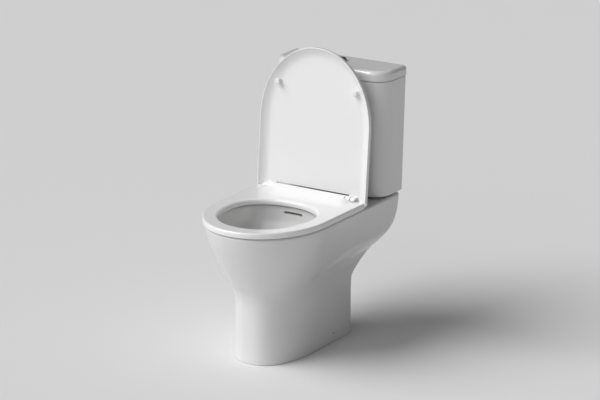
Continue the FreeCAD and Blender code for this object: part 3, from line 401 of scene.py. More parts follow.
rim_loop = pan_loop(RIM)
rim_angles = [math.atan2(x, WALL - BOWL_CENTRE - y) for x, y in rim_loop]
rows = []
for fall, draw in arc_steps(4):
    loop = pan_loop(0.0, FOOT_ROUND * fall)
    rows.append(at_height(loop, FOOT_ROUND * draw))
side_top = RIM - RIM_ROUND
for step in range(1, 97):
    height = between(FOOT_ROUND, side_top, step / 96)
    rows.append(at_height(pan_loop(height), height))
for fall, draw in arc_steps(8)[1:]:
    height = RIM - RIM_ROUND * fall
    rows.append(at_height(pan_loop(height, RIM_ROUND * draw), height))
outer_edge = pan_loop(RIM, RIM_FLAT_FROM)
mouth_edge = bowl_loop(RIM, rim_angles, RIM_FLAT_FROM)
rows.append(at_height(outer_edge, RIM))
for share in (0.4, 0.7):
    rows.append([(between(a[0], b[0], share), between(a[1], b[1], share), RIM)
                 for a, b in zip(outer_edge, mouth_edge)])
rows.append(at_height(mouth_edge, RIM))
for fall, draw in reversed(arc_steps(8)):
    height = RIM - RIM_ROUND * fall
    loop = bowl_loop(RIM, rim_angles, RIM_ROUND * draw)
    rows.append(at_height(loop, height))
bowl_rows = 84
for step in range(1, bowl_rows + 1):
    height = between(RIM - RIM_ROUND, SUMP_FLOOR + SUMP_ROUND, step / bowl_rows)
    rows.append(at_height(bowl_loop(height, rim_angles), height))
for fall, draw in arc_steps(7)[1:]:
    loop = bowl_loop(SUMP_FLOOR + SUMP_ROUND, rim_angles, -SUMP_ROUND * draw)
    rows.append(at_height(loop, SUMP_FLOOR + SUMP_ROUND * fall))
pan = solid("pan_china", *skin(rows, (0.0, WALL - PAN_MIDDLE, 0.0),
                               (0.0, WALL - SUMP["widest"], SUMP_FLOOR)))

TRAP = 0.036
TRAP_WALL = 0.009
TRAP_BEND = TRAP + 0.013
OUTLET = 0.180
OUTLET_END = 0.095
SPIGOT_RADIUS = 0.051
SPIGOT_BORE = 0.042
SPIGOT_LENGTH = 0.075
WINDOW_SIDE = 0.028
DUCT_HALF = 0.031
DUCT_LOW = RIM - DECK - 0.040
DUCT_END = 0.296
DUCT_BACK = 0.035
DUCT_WALL_BACK = 0.024
SLOT_HEIGHT = 0.007

# The depth from the wall and the height of each corner on the trapway's middle line.
trap_route = [(0.430, 0.106), (0.348, 0.106), (0.290, 0.226), (0.234, 0.226),
              (0.192, OUTLET), (0.135, OUTLET)]
under_deck = [between(-0.01, RIM - DECK, step / 60) for step in range(61)]
cavity = solid("cavity", *skin([at_height(pan_loop(max(z, 0.0), SKIN), z) for z in under_deck],
                               (0.0, WALL - PAN_MIDDLE, -0.01), (0.0, WALL - PAN_MIDDLE, RIM - DECK)))
cup_heights = [between(SUMP_FLOOR - SKIN, RIM, step / 60) for step in range(61)]
cup = solid("cup", *skin([at_height(bowl_loop(z, rim_angles, SKIN), z) for z in cup_heights],
                         (0.0, WALL - SUMP["widest"], SUMP_FLOOR - SKIN),
                         (0.0, WALL - BOWL_CENTRE, RIM)))


def spigot_body(radius, start, finish):
    """A bar on the outlet's axis between two depths from the wall."""
    body = column("spigot", radius, -finish, -start, 0.0, 0.0, 64)
    return lying(body, 0.0, WALL, OUTLET, "Y")


# The foot is open at the back, so that the outlet can be reached from behind.
window = block("window", (-FOOT_HALF + WINDOW_SIDE, FOOT_HALF - WINDOW_SIDE),
               (WALL - FOOT_BACK - 0.03, WALL + 0.005), (-0.02, OUTLET + SPIGOT_RADIUS + 0.03))
combine(cavity, window, "UNION")
combine(cavity, cup)
combine(cavity, tube("trap_outside", trap_route, TRAP + TRAP_WALL, TRAP_BEND))
combine(cavity, spigot_body(SPIGOT_RADIUS, OUTLET_END, OUTLET_END + SPIGOT_LENGTH))
combine(cavity, block("duct_walls", (-DUCT_HALF - SKIN, DUCT_HALF + SKIN),
                      (WALL - MOUTH["back"], WALL - DUCT_WALL_BACK), (DUCT_LOW - SKIN, RIM - 0.002)))
combine(pan, spigot_body(SPIGOT_RADIUS, OUTLET_END, OUTLET_END + SPIGOT_LENGTH), "UNION")
combine(pan, cavity)
combine(pan, tube("trap_inside", trap_route, TRAP, TRAP_BEND))
combine(pan, spigot_body(SPIGOT_BORE, OUTLET_END - 0.01, OUTLET_END + SPIGOT_LENGTH - 0.014))
combine(pan, block("duct", (-DUCT_HALF, DUCT_HALF), (WALL - DUCT_END, WALL - DUCT_BACK),
                   (DUCT_LOW, RIM - DECK)))
combine(pan, block("slot", (-DUCT_HALF, DUCT_HALF),
                   (WALL - MOUTH["back"] - 0.022, WALL - DUCT_END + 0.001),
                   (RIM - DECK - SLOT_HEIGHT, RIM - DECK)))

# Holes in the shelf: the waterway and its recess, the supply, the coupling bolts, the seat studs.
VALVE_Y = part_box("flush_valve_base")[0].y / 2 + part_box("flush_valve_base")[1].y / 2
STUD_Y = WALL - 0.190
STUD_X = 0.0775
BOLT_X = 0.075
SUPPLY = (-0.130, WALL - 0.052)
SIDE_HOLE = (WALL - 0.260, 0.028)
INLET_RADIUS = 0.033
RECESS_RADIUS = 0.045
RECESS_DEPTH = 0.008
SUPPLY_RADIUS = 0.02545
BOLT_HOLE = 0.0055
STUD_HOLE = 0.006
SIDE_HOLE_RADIUS = 0.0055
combine(pan, column("inlet", INLET_RADIUS, RIM - DECK - 0.001, RIM + 0.01, 0.0, VALVE_Y))
combine(pan, column("recess", RECESS_RADIUS, RIM - RECESS_DEPTH, RIM + 0.01, 0.0, VALVE_Y))
combine(pan, column("supply", SUPPLY_RADIUS, RIM - 0.22, RIM + 0.01, *SUPPLY))
for side in (-1, 1):
    combine(pan, column("bolt_hole", BOLT_HOLE, RIM - 0.04, RIM + 0.01, side * BOLT_X, VALVE_Y, 24))
    combine(pan, column("stud_hole", STUD_HOLE, RIM - 0.04, RIM + 0.01, side * STUD_X, STUD_Y, 24))
combine(pan, lying(column("side_hole", SIDE_HOLE_RADIUS, -0.2, 0.2, 0.0, 0.0, 32), 0.0, *SIDE_HOLE))


def smooth(piece, limit=math.radians(38)):
    """Merge doubles, shade smooth, and keep an edge sharp where its faces meet steeply."""
    work = bmesh.new()
    work.from_mesh(piece.data)
    bmesh.ops.remove_doubles(work, verts=work.verts, dist=1e-6)
    bmesh.ops.dissolve_degenerate(work, dist=1e-6, edges=work.edges)
    for face in work.faces:
        face.smooth = True
    for edge in work.edges:
        edge.smooth = len(edge.link_faces) == 2 and edge.calc_face_angle(0.0) < limit
    work.to_mesh(piece.data)
    work.free()
    return piece


def node_in(tree, kind, **settings):
    node = tree.nodes.new(kind)
    for name, value in settings.items():
        setattr(node, name, value)
    return node


def wired(tree, *links):
    """Link each node's named output to another node's input, given by its name or its place."""
    for source, output, target, socket in links:
        tree.links.new(source.outputs[output], target.inputs[socket])


def shader_group(name, inputs, outputs):
    """An empty shader node group with named sockets."""
    tree = bpy.data.node_groups.new(name, "ShaderNodeTree")
    for label, kind, value in inputs:
        socket = tree.interface.new_socket(name=label, in_out="INPUT", socket_type=kind)
        if value is not None:
            socket.default_value = value
    for label, kind in outputs:
        tree.interface.new_socket(name=label, in_out="OUTPUT", socket_type=kind)
    return tree, node_in(tree, "NodeGroupInput"), node_in(tree, "NodeGroupOutput")


# Slow drifts in a surface: thickness of glaze, flow of plastic, handling of metal.
drift, drift_in, drift_out = shader_group(
    "surface_drift",
    [("Place", "NodeSocketVector", None), ("Size", "NodeSocketFloat", 10.0),
     ("Low", "NodeSocketFloat", 0.0), ("High", "NodeSocketFloat", 1.0)],
    [("Value", "NodeSocketFloat")])
drift_noise = node_in(drift, "ShaderNodeTexNoise")
drift_noise.inputs["Detail"].default_value = 3.0
drift_range = node_in(drift, "ShaderNodeMapRange")
drift_range.inputs["From Min"].default_value = 0.3
drift_range.inputs["From Max"].default_value = 0.7
wired(drift,
      (drift_in, "Place", drift_noise, "Vector"), (drift_in, "Size", drift_noise, "Scale"),
      (drift_noise, "Fac", drift_range, "Value"), (drift_in, "Low", drift_range, "To Min"),
      (drift_in, "High", drift_range, "To Max"), (drift_range, "Result", drift_out, "Value"))

# Two layers of fine waviness, added up as a height: a broad one and a fine one.
ripple, ripple_in, ripple_out = shader_group(
    "surface_ripple",
    [("Place", "NodeSocketVector", None), ("Broad", "NodeSocketFloat", 30.0),
     ("Fine", "NodeSocketFloat", 400.0), ("Fine Share", "NodeSocketFloat", 0.1)],
    [("Height", "NodeSocketFloat")])
ripple_broad = node_in(ripple, "ShaderNodeTexNoise")
ripple_fine = node_in(ripple, "ShaderNodeTexNoise")
ripple_sum = node_in(ripple, "ShaderNodeMath", operation="MULTIPLY_ADD")
wired(ripple,
      (ripple_in, "Place", ripple_broad, "Vector"), (ripple_in, "Place", ripple_fine, "Vector"),
      (ripple_in, "Broad", ripple_broad, "Scale"), (ripple_in, "Fine", ripple_fine, "Scale"),
      (ripple_fine, "Fac", ripple_sum, 0), (ripple_in, "Fine Share", ripple_sum, 1),
      (ripple_broad, "Fac", ripple_sum, 2), (ripple_sum, "Value", ripple_out, "Height"))


def finish_material(name, tone, second_tone, drift_size, gloss, gloss_size, ripple_size, bump,
                    metal=0.0, coat=0.0, coat_gloss=0.03):
    """A finish whose colour drifts between two tones, with its own gloss range and waviness.

    The ripple is its broad size, its fine size and the fine one's share. The bump is its strength
    and its depth. Sizes count features per metre, so a larger number is a finer pattern.
    """
    material = bpy.data.materials.new(name)
    material.use_nodes = True
    tree = material.node_tree
    shader = tree.nodes["Principled BSDF"]
    shader.inputs["Metallic"].default_value = metal
    shader.inputs["Coat Weight"].default_value = coat
    shader.inputs["Coat Roughness"].default_value = coat_gloss
    place = node_in(tree, "ShaderNodeTexCoord")

    def placed_group(group, **values):
        node = node_in(tree, "ShaderNodeGroup", node_tree=group)
        for label, value in values.items():
            node.inputs[label.replace("_", " ")].default_value = value
        tree.links.new(place.outputs["Object"], node.inputs["Place"])
        return node
    colour_drift = placed_group(drift, Size=drift_size)
    mix = node_in(tree, "ShaderNodeMix", data_type="RGBA")
    mix.inputs["A"].default_value = (*tone, 1.0)
    mix.inputs["B"].default_value = (*second_tone, 1.0)
    gloss_drift = placed_group(drift, Size=gloss_size, Low=gloss[0], High=gloss[1])
    waves = placed_group(ripple, Broad=ripple_size[0], Fine=ripple_size[1], Fine_Share=ripple_size[2])
    relief = node_in(tree, "ShaderNodeBump")
    relief.inputs["Strength"].default_value = bump[0]
    relief.inputs["Distance"].default_value = bump[1]
    wired(tree,
          (colour_drift, "Value", mix, "Factor"), (mix, "Result", shader, "Base Color"),
          (gloss_drift, "Value", shader, "Roughness"), (waves, "Height", relief, "Height"),
          (relief, "Normal", shader, "Normal"))
    return material


china = finish_material("vitreous_china", (0.755, 0.753, 0.750), (0.735, 0.735, 0.733), 5.0,
                        (0.10, 0.16), 14.0, (9.0, 90.0, 0.05), (0.10, 0.002), coat=0.6, coat_gloss=0.04)
china.node_tree.nodes["Principled BSDF"].inputs["IOR"].default_value = 1.5


def finished(piece, material, body, slot, *nodes):
    """Give a piece its material, tie it to its body and hide the solids it stands for. The slot is not used.
    """
    piece.data.materials.clear()
    piece.data.materials.append(material)
    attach(piece, body)
    if nodes:
        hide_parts(*nodes)
    return piece


finished(smooth(pan), china, "pan", "china", "pan", "pan_bowl", "pan_trapway", "pan_flush_duct")

# ------------------------------------------------------------------ cistern
# A tapered tank of the same china with a slightly bowed front. Its floor has a pocket below and
# a platform inside, where the flush valve and the two coupling bolts pass through.

tank_low, tank_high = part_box("cistern")
TANK_HALF = (0.180, tank_high.x)
TANK_DEPTH = (0.125, tank_high.y - tank_low.y)
TANK_WALL = 0.009
TANK_INNER_ROUND = 0.012
TANK_FOOT_ROUND = 0.006
TANK_LIP_ROUND = 0.0012
LID_GAP = 0.0024
FRONT_BOW = 2.6
FRONT_CORNER = 0.056
BACK_CORNER = 0.006
POCKET_HALF = (0.095, 0.044)
PLATFORM_HALF = (0.105, 0.052)
TAIL_HOLE = 0.0305
INLET_HOLE = 0.01195
WALL_HOLE = 0.004
WALL_HOLE_X = 0.100
WALL_HOLE_DROP = 0.060


def tank_loop(half, depth, inset=0.0, corner=FRONT_CORNER):
    """A loop with a slightly bowed front, round front corners and small back corners."""
    half -= inset
    front = WALL - depth + inset
    bow = FRONT_BOW - inset
    corner -= inset
    start = math.asin((half - corner) / (bow - corner))
    points = []
    for step in range(16):
        angle = start * step / 16
        points.append((bow * math.sin(angle), front + bow * (1 - math.cos(angle))))
    for step in range(20):
        angle = between(start, math.pi / 2, step / 20)
        points.append(((bow - corner) * math.sin(start) + corner * math.sin(angle),
                       front + bow - (bow - corner) * math.cos(start) - corner * math.cos(angle)))
    side_start = front + bow - (bow - corner) * math.cos(start)
    back_round = max(BACK_CORNER - inset, 0.002)
    back = WALL - inset
    for step in range(10):
        points.append((half, between(side_start, back - back_round, step / 10)))
    for step in range(6):
        angle = math.pi / 2 * step / 6
        points.append((half - back_round * (1 - math.cos(angle)),
                       back - back_round * (1 - math.sin(angle))))
    for step in range(13):
        points.append(((half - back_round) * (1 - step / 12), back))
    return round_loop(points)


def tank_at(height, inset=0.0):
    share = (height - tank_low.z) / (tank_high.z - tank_low.z)
    return at_height(tank_loop(between(*TANK_HALF, share), between(*TANK_DEPTH, share), inset), height)


rows = []
for fall, draw in arc_steps(6):
    height = tank_low.z + TANK_FOOT_ROUND * draw
    rows.append(tank_at(height, TANK_FOOT_ROUND * fall))
wall_low = tank_low.z + TANK_FOOT_ROUND
wall_high = tank_high.z - LID_GAP - TANK_LIP_ROUND
for step in range(1, 41):
    rows.append(tank_at(between(wall_low, wall_high, step / 40)))
for fall, draw in arc_steps(4)[1:]:
    height = tank_high.z - LID_GAP - TANK_LIP_ROUND * fall
    rows.append(tank_at(height, TANK_LIP_ROUND * draw))

# A shadow gap under the lid's edge, then the inside of the tank from its top down to its floor.
for inset, rise in ((0.0034, 0.0), (0.0038, 0.0004), (0.0038, LID_GAP - 0.0002), (0.004, LID_GAP)):
    rows.append(tank_at(tank_high.z - LID_GAP + rise, inset))
for inset, drop in ((TANK_WALL - 0.002, 0.0), (TANK_WALL - 0.0005, 0.0005), (TANK_WALL, 0.002)):
    rows.append(tank_at(tank_high.z - drop, inset))
inner_low = tank_low.z + TANK_WALL + TANK_INNER_ROUND
for step in range(1, 25):
    rows.append(tank_at(between(tank_high.z - 0.002, inner_low, step / 24), TANK_WALL))
for fall, draw in arc_steps(5)[1:]:
    rows.append(tank_at(tank_low.z + TANK_WALL + TANK_INNER_ROUND * fall,
                        TANK_WALL + TANK_INNER_ROUND * draw))
tank = solid("cistern_china", *skin(rows, (0.0, VALVE_Y, tank_low.z),
                                    (0.0, VALVE_Y, tank_low.z + TANK_WALL)))
pocket_top = tank_low.z + 0.010
platform_top = pocket_top + 0.012
combine(tank, block("platform", (-PLATFORM_HALF[0], PLATFORM_HALF[0]),
                    (VALVE_Y - PLATFORM_HALF[1], VALVE_Y + PLATFORM_HALF[1]),
                    (tank_low.z + 0.002, platform_top)), "UNION")
combine(tank, block("pocket", (-POCKET_HALF[0], POCKET_HALF[0]),
                    (VALVE_Y - POCKET_HALF[1], VALVE_Y + POCKET_HALF[1]),
                    (tank_low.z - 0.001, pocket_top)))
combine(tank, column("tail_hole", TAIL_HOLE, tank_low.z, tank_low.z + 0.06, 0.0, VALVE_Y))
combine(tank, column("inlet_hole", INLET_HOLE, tank_low.z - 0.005, tank_low.z + 0.04, *SUPPLY))
for side in (-1, 1):
    combine(tank, column("bolt_hole", BOLT_HOLE, tank_low.z, tank_low.z + 0.06,
                         side * BOLT_X, VALVE_Y, 24))
    combine(tank, lying(column("wall_hole", WALL_HOLE, -0.02, 0.02, 0.0, 0.0, 24),
                        side * WALL_HOLE_X, WALL, tank_high.z - WALL_HOLE_DROP, "Y"))
finished(smooth(tank), china, "pan", "china", "cistern")

# ------------------------------------------------------------------ cistern lid
# A loose slab of china that covers the tank, with a generous round along its top edge, a hollow
# underside, two locating ribs, and one hole for the push button.

cover_low, cover_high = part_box("cistern_lid")
COVER_HALF = cover_high.x
COVER_DEPTH = WALL - cover_low.y
COVER_EDGE = tank_high.z
COVER_ROUND = 0.013
COVER_CORNER = 0.058
COVER_SKIN = 0.012
COVER_LIP = 0.0015
COVER_SIDE = 0.014
COVER_RIB = (0.1745, 0.1785)
COVER_RIB_DEPTHS = (0.066, 0.026)
BUTTON_HOLE = 0.0235
rows = []
for fall, draw in arc_steps(3):
    loop = tank_loop(COVER_HALF, COVER_DEPTH, COVER_LIP * fall, COVER_CORNER)
    rows.append(at_height(loop, COVER_EDGE + COVER_LIP * draw))
for step in range(1, 6):
    rows.append(at_height(tank_loop(COVER_HALF, COVER_DEPTH, 0.0, COVER_CORNER),
                          between(COVER_EDGE + COVER_LIP, cover_high.z - COVER_ROUND, step / 5)))
for fall, draw in arc_steps(12)[1:]:
    loop = tank_loop(COVER_HALF, COVER_DEPTH, COVER_ROUND * draw, COVER_CORNER)
    rows.append(at_height(loop, cover_high.z - COVER_ROUND * fall))
loop = tank_loop(COVER_HALF, COVER_DEPTH, COVER_ROUND + 0.002, COVER_CORNER)
rows.append(at_height(loop, cover_high.z))
cover = solid("cistern_lid_china", *skin(rows, (0.0, VALVE_Y, COVER_EDGE), (0.0, VALVE_Y, cover_high.z)))
hollow_rows = []
for height, extra in ((COVER_EDGE - 0.002, 0.0), (cover_high.z - COVER_SKIN - 0.004, 0.0),
                      (cover_high.z - COVER_SKIN - 0.001, 0.002), (cover_high.z - COVER_SKIN, 0.004)):
    loop = tank_loop(COVER_HALF, COVER_DEPTH, COVER_SIDE + extra, COVER_CORNER)
    hollow_rows.append(at_height(loop, height))
combine(cover, solid("cover_hollow", *skin(hollow_rows, (0.0, VALVE_Y, hollow_rows[0][0][2]),
                                           (0.0, VALVE_Y, hollow_rows[-1][0][2]))))
for side in (-1, 1):
    rib_x = sorted((side * COVER_RIB[0], side * COVER_RIB[1]))
    combine(cover, block("rib", rib_x, (WALL - COVER_RIB_DEPTHS[0], WALL - COVER_RIB_DEPTHS[1]),
                         (cover_low.z, cover_high.z - 0.006)), "UNION")
combine(cover, column("button_hole", BUTTON_HOLE, COVER_EDGE - 0.01, cover_high.z + 0.01,
                      0.0, VALVE_Y, 64))
finished(smooth(cover), china, "cistern_cover", "china", "cistern_lid")

# ------------------------------------------------------------------ seat
# A pressed ring of hard gloss plastic. Its back rises into a round barrel between the hinges, and
# a notch each side of the barrel leaves room for the hinge knuckles.

seat_low, seat_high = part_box("seat_ring")
SEAT_HALF = seat_high.x
SEAT_FRONT = WALL - seat_low.y
SEAT_BACK = 0.2165
SEAT_UNDER = seat_low.z
SEAT_TOP = SEAT_UNDER + 0.017
HOLE = {"half": 0.135, "front": 0.594, "back": 0.319, "widest": 0.430}
HINGE_Y = WALL - 0.220
HINGE_Z = SEAT_TOP + 0.0016
BARREL = 0.0115
BARREL_END = 0.123
NOTCH_END = 0.1546
RAMP_LENGTH = 0.078
RAMP_FADE = (0.122, 0.160)
SEAT_EDGE = 0.0055
SEAT_UNDER_EDGE = 0.002
HOLE_EDGE = 0.0085
HOLE_UNDER_EDGE = 0.003
PIN_BORE = 0.00405


def ease(value):
    value = min(max(value, 0.0), 1.0)
    return value * value * (3 - 2 * value)


def seat_crown(x, y):
    """How far the seat's top rises above its flat: up to the barrel, between the hinges."""
    along = ease((y - (HINGE_Y - RAMP_LENGTH)) / RAMP_LENGTH)
    across = 1 - ease((abs(x) - RAMP_FADE[0]) / (RAMP_FADE[1] - RAMP_FADE[0]))
    return (HINGE_Z + BARREL - SEAT_TOP - 0.0002) * along * across


def seat_loop(grow=0.0, back=SEAT_BACK, corner=0.006):
    return soft_box_loop(SEAT_HALF + grow, SEAT_FRONT + grow, RIM_WIDEST, RIM_EXPONENT,
                         SEAT_HALF + grow, back - min(grow, 0.0), corner + min(grow, 0.0) * 0.6,
                         (60, 34, 8, 44))


seat_angles = [math.atan2(x, WALL - HOLE["widest"] - y) for x, y in seat_loop()]


def hole_loop(grow=0.0):
    return egg_loop(seat_angles, HOLE["half"], HOLE["front"], HOLE["back"], HOLE["widest"], grow)


rows = []
for fall, draw in arc_steps(4):
    rows.append(at_height(seat_loop(-SEAT_UNDER_EDGE * fall),
                          SEAT_UNDER + SEAT_UNDER_EDGE * draw))
for fall, draw in arc_steps(8):
    rows.append(at_height(seat_loop(-SEAT_EDGE * draw),
                          SEAT_TOP - SEAT_EDGE * fall))
outer_edge = seat_loop(-SEAT_EDGE - 0.001)
inner_edge = hole_loop(HOLE_EDGE + 0.001)
top_rows = 36
for step in range(top_rows + 1):
    share = step / top_rows
    rows.append([(between(a[0], b[0], share), between(a[1], b[1], share), SEAT_TOP)
                 for a, b in zip(outer_edge, inner_edge)])
for fall, draw in reversed(arc_steps(8)):
    loop = hole_loop(HOLE_EDGE * draw)
    rows.append(at_height(loop, SEAT_TOP - HOLE_EDGE * fall))
for fall, draw in arc_steps(4):
    loop = hole_loop(HOLE_UNDER_EDGE * draw)
    rows.append(at_height(loop, SEAT_UNDER + HOLE_UNDER_EDGE * fall))

# The top rises to the barrel and the underside stays flat, so the last ring closes on the first.
lifted = []
for row in rows:
    lifted.append([(x, y, z + seat_crown(x, y) * ease((z - SEAT_UNDER - 0.004) / 0.008))
                   for x, y, z in row])
lifted.append(lifted[0])
seat = smooth(solid("seat_ring_plastic", *skin(lifted)))


def barrel_rod(name, radius, start, finish, edge, count=56):
    """A round bar along the hinge axis with softly rounded ends."""
    rings = []
    for x, shrink in ((start, edge), (start + edge * 0.3, edge * 0.3), (start + edge, 0.0),
                      (finish - edge, 0.0), (finish - edge * 0.3, edge * 0.3), (finish, edge)):
        reach = radius - shrink
        rings.append([(x, HINGE_Y + reach * math.cos(a), HINGE_Z + reach * math.sin(a))
                      for a in (2 * math.pi * i / count for i in range(count))])
    return solid(name, *skin(rings, (start, HINGE_Y, HINGE_Z), (finish, HINGE_Y, HINGE_Z)))


for side in (-1, 1):
    notch_x = sorted((side * BARREL_END, side * NOTCH_END))
    combine(seat, block("notch", notch_x, (HINGE_Y - 0.016, HINGE_Y + 0.05),
                        (SEAT_UNDER - 0.01, SEAT_TOP + 0.03)))
combine(seat, barrel_rod("barrel", BARREL, -BARREL_END, BARREL_END, 0.001), "UNION")
for side in (-1, 1):
    bore = sorted((side * (BARREL_END - 0.030), side * (BARREL_END + 0.01)))
    combine(seat, barrel_rod("bore", PIN_BORE, *bore, 0.0002, 24))
seat_plastic = finish_material("seat_plastic_white", (0.865, 0.865, 0.862), (0.850, 0.850, 0.848), 7.0,
                               (0.14, 0.22), 22.0, (14.0, 220.0, 0.12), (0.05, 0.001), coat=0.35,
                               coat_gloss=0.08)
finished(smooth(seat), seat_plastic, "seat", "seat_plastic", "seat_ring")

# ------------------------------------------------------------------ seat lid
# A shallow dish of the same plastic. It is drawn closed over the seat, then turned open about the
# hinge axis. Two lugs at its back turn on the hinge pins.

LID_OPEN = math.radians(95)
LID_LOW = SEAT_TOP + 0.003
LID_DEPTH = 0.017
LID_DISH = 0.012
LID_BACK = 0.2035
LID_OVERHANG = 0.002
LID_ROUND = 0.0075
LID_LIP = 0.0016
LID_RIM = 0.0022
DISH_SWEEP = 0.031
LUG = (0.1391, 0.1536)
EYE = 0.0095


def lid_loop(inset):
    corner = max(0.008 - inset * 0.5, 0.003)
    half = SEAT_HALF + LID_OVERHANG - inset
    front = SEAT_FRONT + LID_OVERHANG - inset
    return soft_box_loop(half, front, RIM_WIDEST, RIM_EXPONENT, half, LID_BACK + inset, corner,
                         (60, 34, 8, 20))


rows = []
for share in (0.72, 0.86, 0.95):
    loop = lid_loop(between(0.150, LID_RIM + DISH_SWEEP, share))
    rows.append(at_height(loop, LID_LOW + LID_DISH))
for step in range(25):
    share = step / 24
    loop = lid_loop(LID_RIM + DISH_SWEEP * (1 - share))
    rows.append(at_height(loop, LID_LOW + LID_DISH * (1 - share ** 2.0)))
rows.append(at_height(lid_loop(LID_LIP), LID_LOW))
for fall, draw in arc_steps(5)[1:]:
    loop = lid_loop(LID_LIP * fall)
    rows.append(at_height(loop, LID_LOW + LID_LIP * draw))
for fall, draw in arc_steps(8):
    rows.append(at_height(lid_loop(LID_ROUND * draw),
                          LID_LOW + LID_DEPTH - LID_ROUND * fall))
for inset in (0.008, 0.03, 0.06, 0.10, 0.14):
    rows.append(at_height(lid_loop(inset), LID_LOW + LID_DEPTH))
lid = solid("seat_lid_plastic", *skin(rows, (0.0, WALL - RIM_WIDEST, LID_LOW + LID_DISH),
                                      (0.0, WALL - RIM_WIDEST, LID_LOW + LID_DEPTH)))

# Room behind the hinge line for the turn, and a notch that clears the seat's barrel.
combine(lid, block("relief", (-0.2, 0.2), (HINGE_Y + 0.0008, HINGE_Y + 0.04),
                   (HINGE_Z - 0.01, HINGE_Z + 0.0065)))
combine(lid, block("notch", (-BARREL_END - 0.001, BARREL_END + 0.001),
                   (HINGE_Y - BARREL - 0.0005, HINGE_Y + 0.05), (HINGE_Z - 0.02, HINGE_Z + 0.04)))
for side in (-1, 1):
    lug_x = sorted((side * LUG[0], side * LUG[1]))
    combine(lid, block("web", lug_x, (HINGE_Y - EYE, HINGE_Y + EYE),
                       (HINGE_Z, LID_LOW + LID_DISH + 0.001)), "UNION")
    combine(lid, barrel_rod("eye", EYE, *lug_x, 0.0008, 40), "UNION")
    combine(lid, barrel_rod("eye_bore", PIN_BORE, lug_x[0] - 0.001, lug_x[1] + 0.001, 0.0002, 24))


def open_out(piece):
    """Turn a piece of the lid from closed to open."""
    about = Matrix.Translation((0, HINGE_Y, HINGE_Z))
    piece.data.transform(about @ Matrix.Rotation(-LID_OPEN, 4, "X") @ about.inverted())
    return piece


finished(smooth(open_out(lid)), seat_plastic, "lid", "seat_plastic", "seat_lid")

# ------------------------------------------------------------------ buffers
# Soft white buttons pushed into the plastic: two tall ones in the lid's dish, which rest on the
# seat, and four low ones under the seat, which rest on the china.

BUFFER_EDGE = 0.0022
LID_BUFFER = {"radius": 0.0085, "x": 0.131, "depth": 0.530}
LOW_BUFFER = 0.008
LOW_BUFFER_EDGE = 0.0012
SEAT_BUFFERS = [(0.136, 0.540), (0.160, 0.300)]

buffer_rubber = finish_material("buffer_white", (0.86, 0.86, 0.85), (0.83, 0.83, 0.82), 60.0,
                                (0.32, 0.42), 90.0, (120.0, 900.0, 0.3), (0.04, 0.0006))


def turned(profile, count=48):
    """Rings of a shape turned about the upright axis through the origin, from its profile."""
    return [[(radius * math.cos(2 * math.pi * i / count), radius * math.sin(2 * math.pi * i / count),
              height) for i in range(count)] for radius, height in profile]


def button_profile(radius, low, high, edge):
    """A disc's profile with both edges rounded."""
    lower = [(radius - edge * fall, low + edge * draw) for fall, draw in arc_steps(5)]
    upper = [(radius - edge * draw, high - edge * fall) for fall, draw in arc_steps(5)]
    return lower + upper


copies = bpy.data.node_groups.new("copies_at_points", "GeometryNodeTree")
for label, way, kind in (("Places", "INPUT", "Geometry"), ("Shape", "INPUT", "Object"),
                         ("Size", "INPUT", "Float"), ("Finish", "INPUT", "Material"),
                         ("Copies", "OUTPUT", "Geometry")):
    copies.interface.new_socket(name=label, in_out=way, socket_type="NodeSocket" + kind)
copies_in = node_in(copies, "NodeGroupInput")
copies_out = node_in(copies, "NodeGroupOutput")
copies_shape = node_in(copies, "GeometryNodeObjectInfo")
copies_place = node_in(copies, "GeometryNodeInstanceOnPoints")
copies_real = node_in(copies, "GeometryNodeRealizeInstances")
copies_finish = node_in(copies, "GeometryNodeSetMaterial")
wired(copies,
      (copies_in, "Places", copies_place, "Points"), (copies_in, "Shape", copies_shape, "Object"),
      (copies_shape, "Geometry", copies_place, "Instance"), (copies_in, "Size", copies_place, "Scale"),
      (copies_place, "Instances", copies_real, "Geometry"),
      (copies_real, "Geometry", copies_finish, "Geometry"),
      (copies_in, "Finish", copies_finish, "Material"),
      (copies_finish, "Geometry", copies_out, "Copies"))


def repeated(name, shape, places, finish, size=1.0):
    """One plain mesh of a shape copied to each place; the shape itself is thrown away."""
    piece = solid(name, places, [])
    modifier = piece.modifiers.new("copies", "NODES")
    modifier.node_group = copies
    values = {"Shape": shape, "Size": size, "Finish": finish}
    for item in copies.interface.items_tree:
        if item.in_out == "INPUT" and item.name in values:
            modifier[item.identifier] = values[item.name]
    graph = bpy.context.evaluated_depsgraph_get()
    made = bpy.data.meshes.new_from_object(piece.evaluated_get(graph))
    piece.modifiers.clear()
    piece.data = made
    bpy.data.objects.remove(shape)
    return piece


buffer_low = SEAT_TOP + 0.0003
buffer_high = LID_LOW + LID_DISH
tall_height = buffer_high - buffer_low + 0.0005
tall_button = smooth(solid("tall_button", *skin(
    turned(button_profile(LID_BUFFER["radius"], 0.0, tall_height, BUFFER_EDGE)),
    (0, 0, 0), (0, 0, tall_height))))
lid_buffers = repeated("lid_buffer_buttons", tall_button,
                       [(side * LID_BUFFER["x"], WALL - LID_BUFFER["depth"], buffer_low) for side in (-1, 1)],
                       buffer_rubber)
finished(open_out(lid_buffers), buffer_rubber, "lid", "buffer_rubber", "lid_buffers")

low_height = SEAT_UNDER - RIM + 0.0004
low_button = smooth(solid("low_button", *skin(
    turned(button_profile(LOW_BUFFER, 0.0, low_height, LOW_BUFFER_EDGE)),
    (0, 0, 0), (0, 0, low_height))))
seat_buffers = repeated("seat_buffer_buttons", low_button,
                        [(side * x, WALL - depth, RIM) for x, depth in SEAT_BUFFERS for side in (-1, 1)],
                        buffer_rubber)
finished(seat_buffers, buffer_rubber, "seat", "buffer_rubber", "seat_buffers")

# ------------------------------------------------------------------ hinges
# Two white plastic posts on the pan, each held by a stud through the china with a cone washer and
# a wing nut below. A polished steel pin through each post carries the seat and the lid.

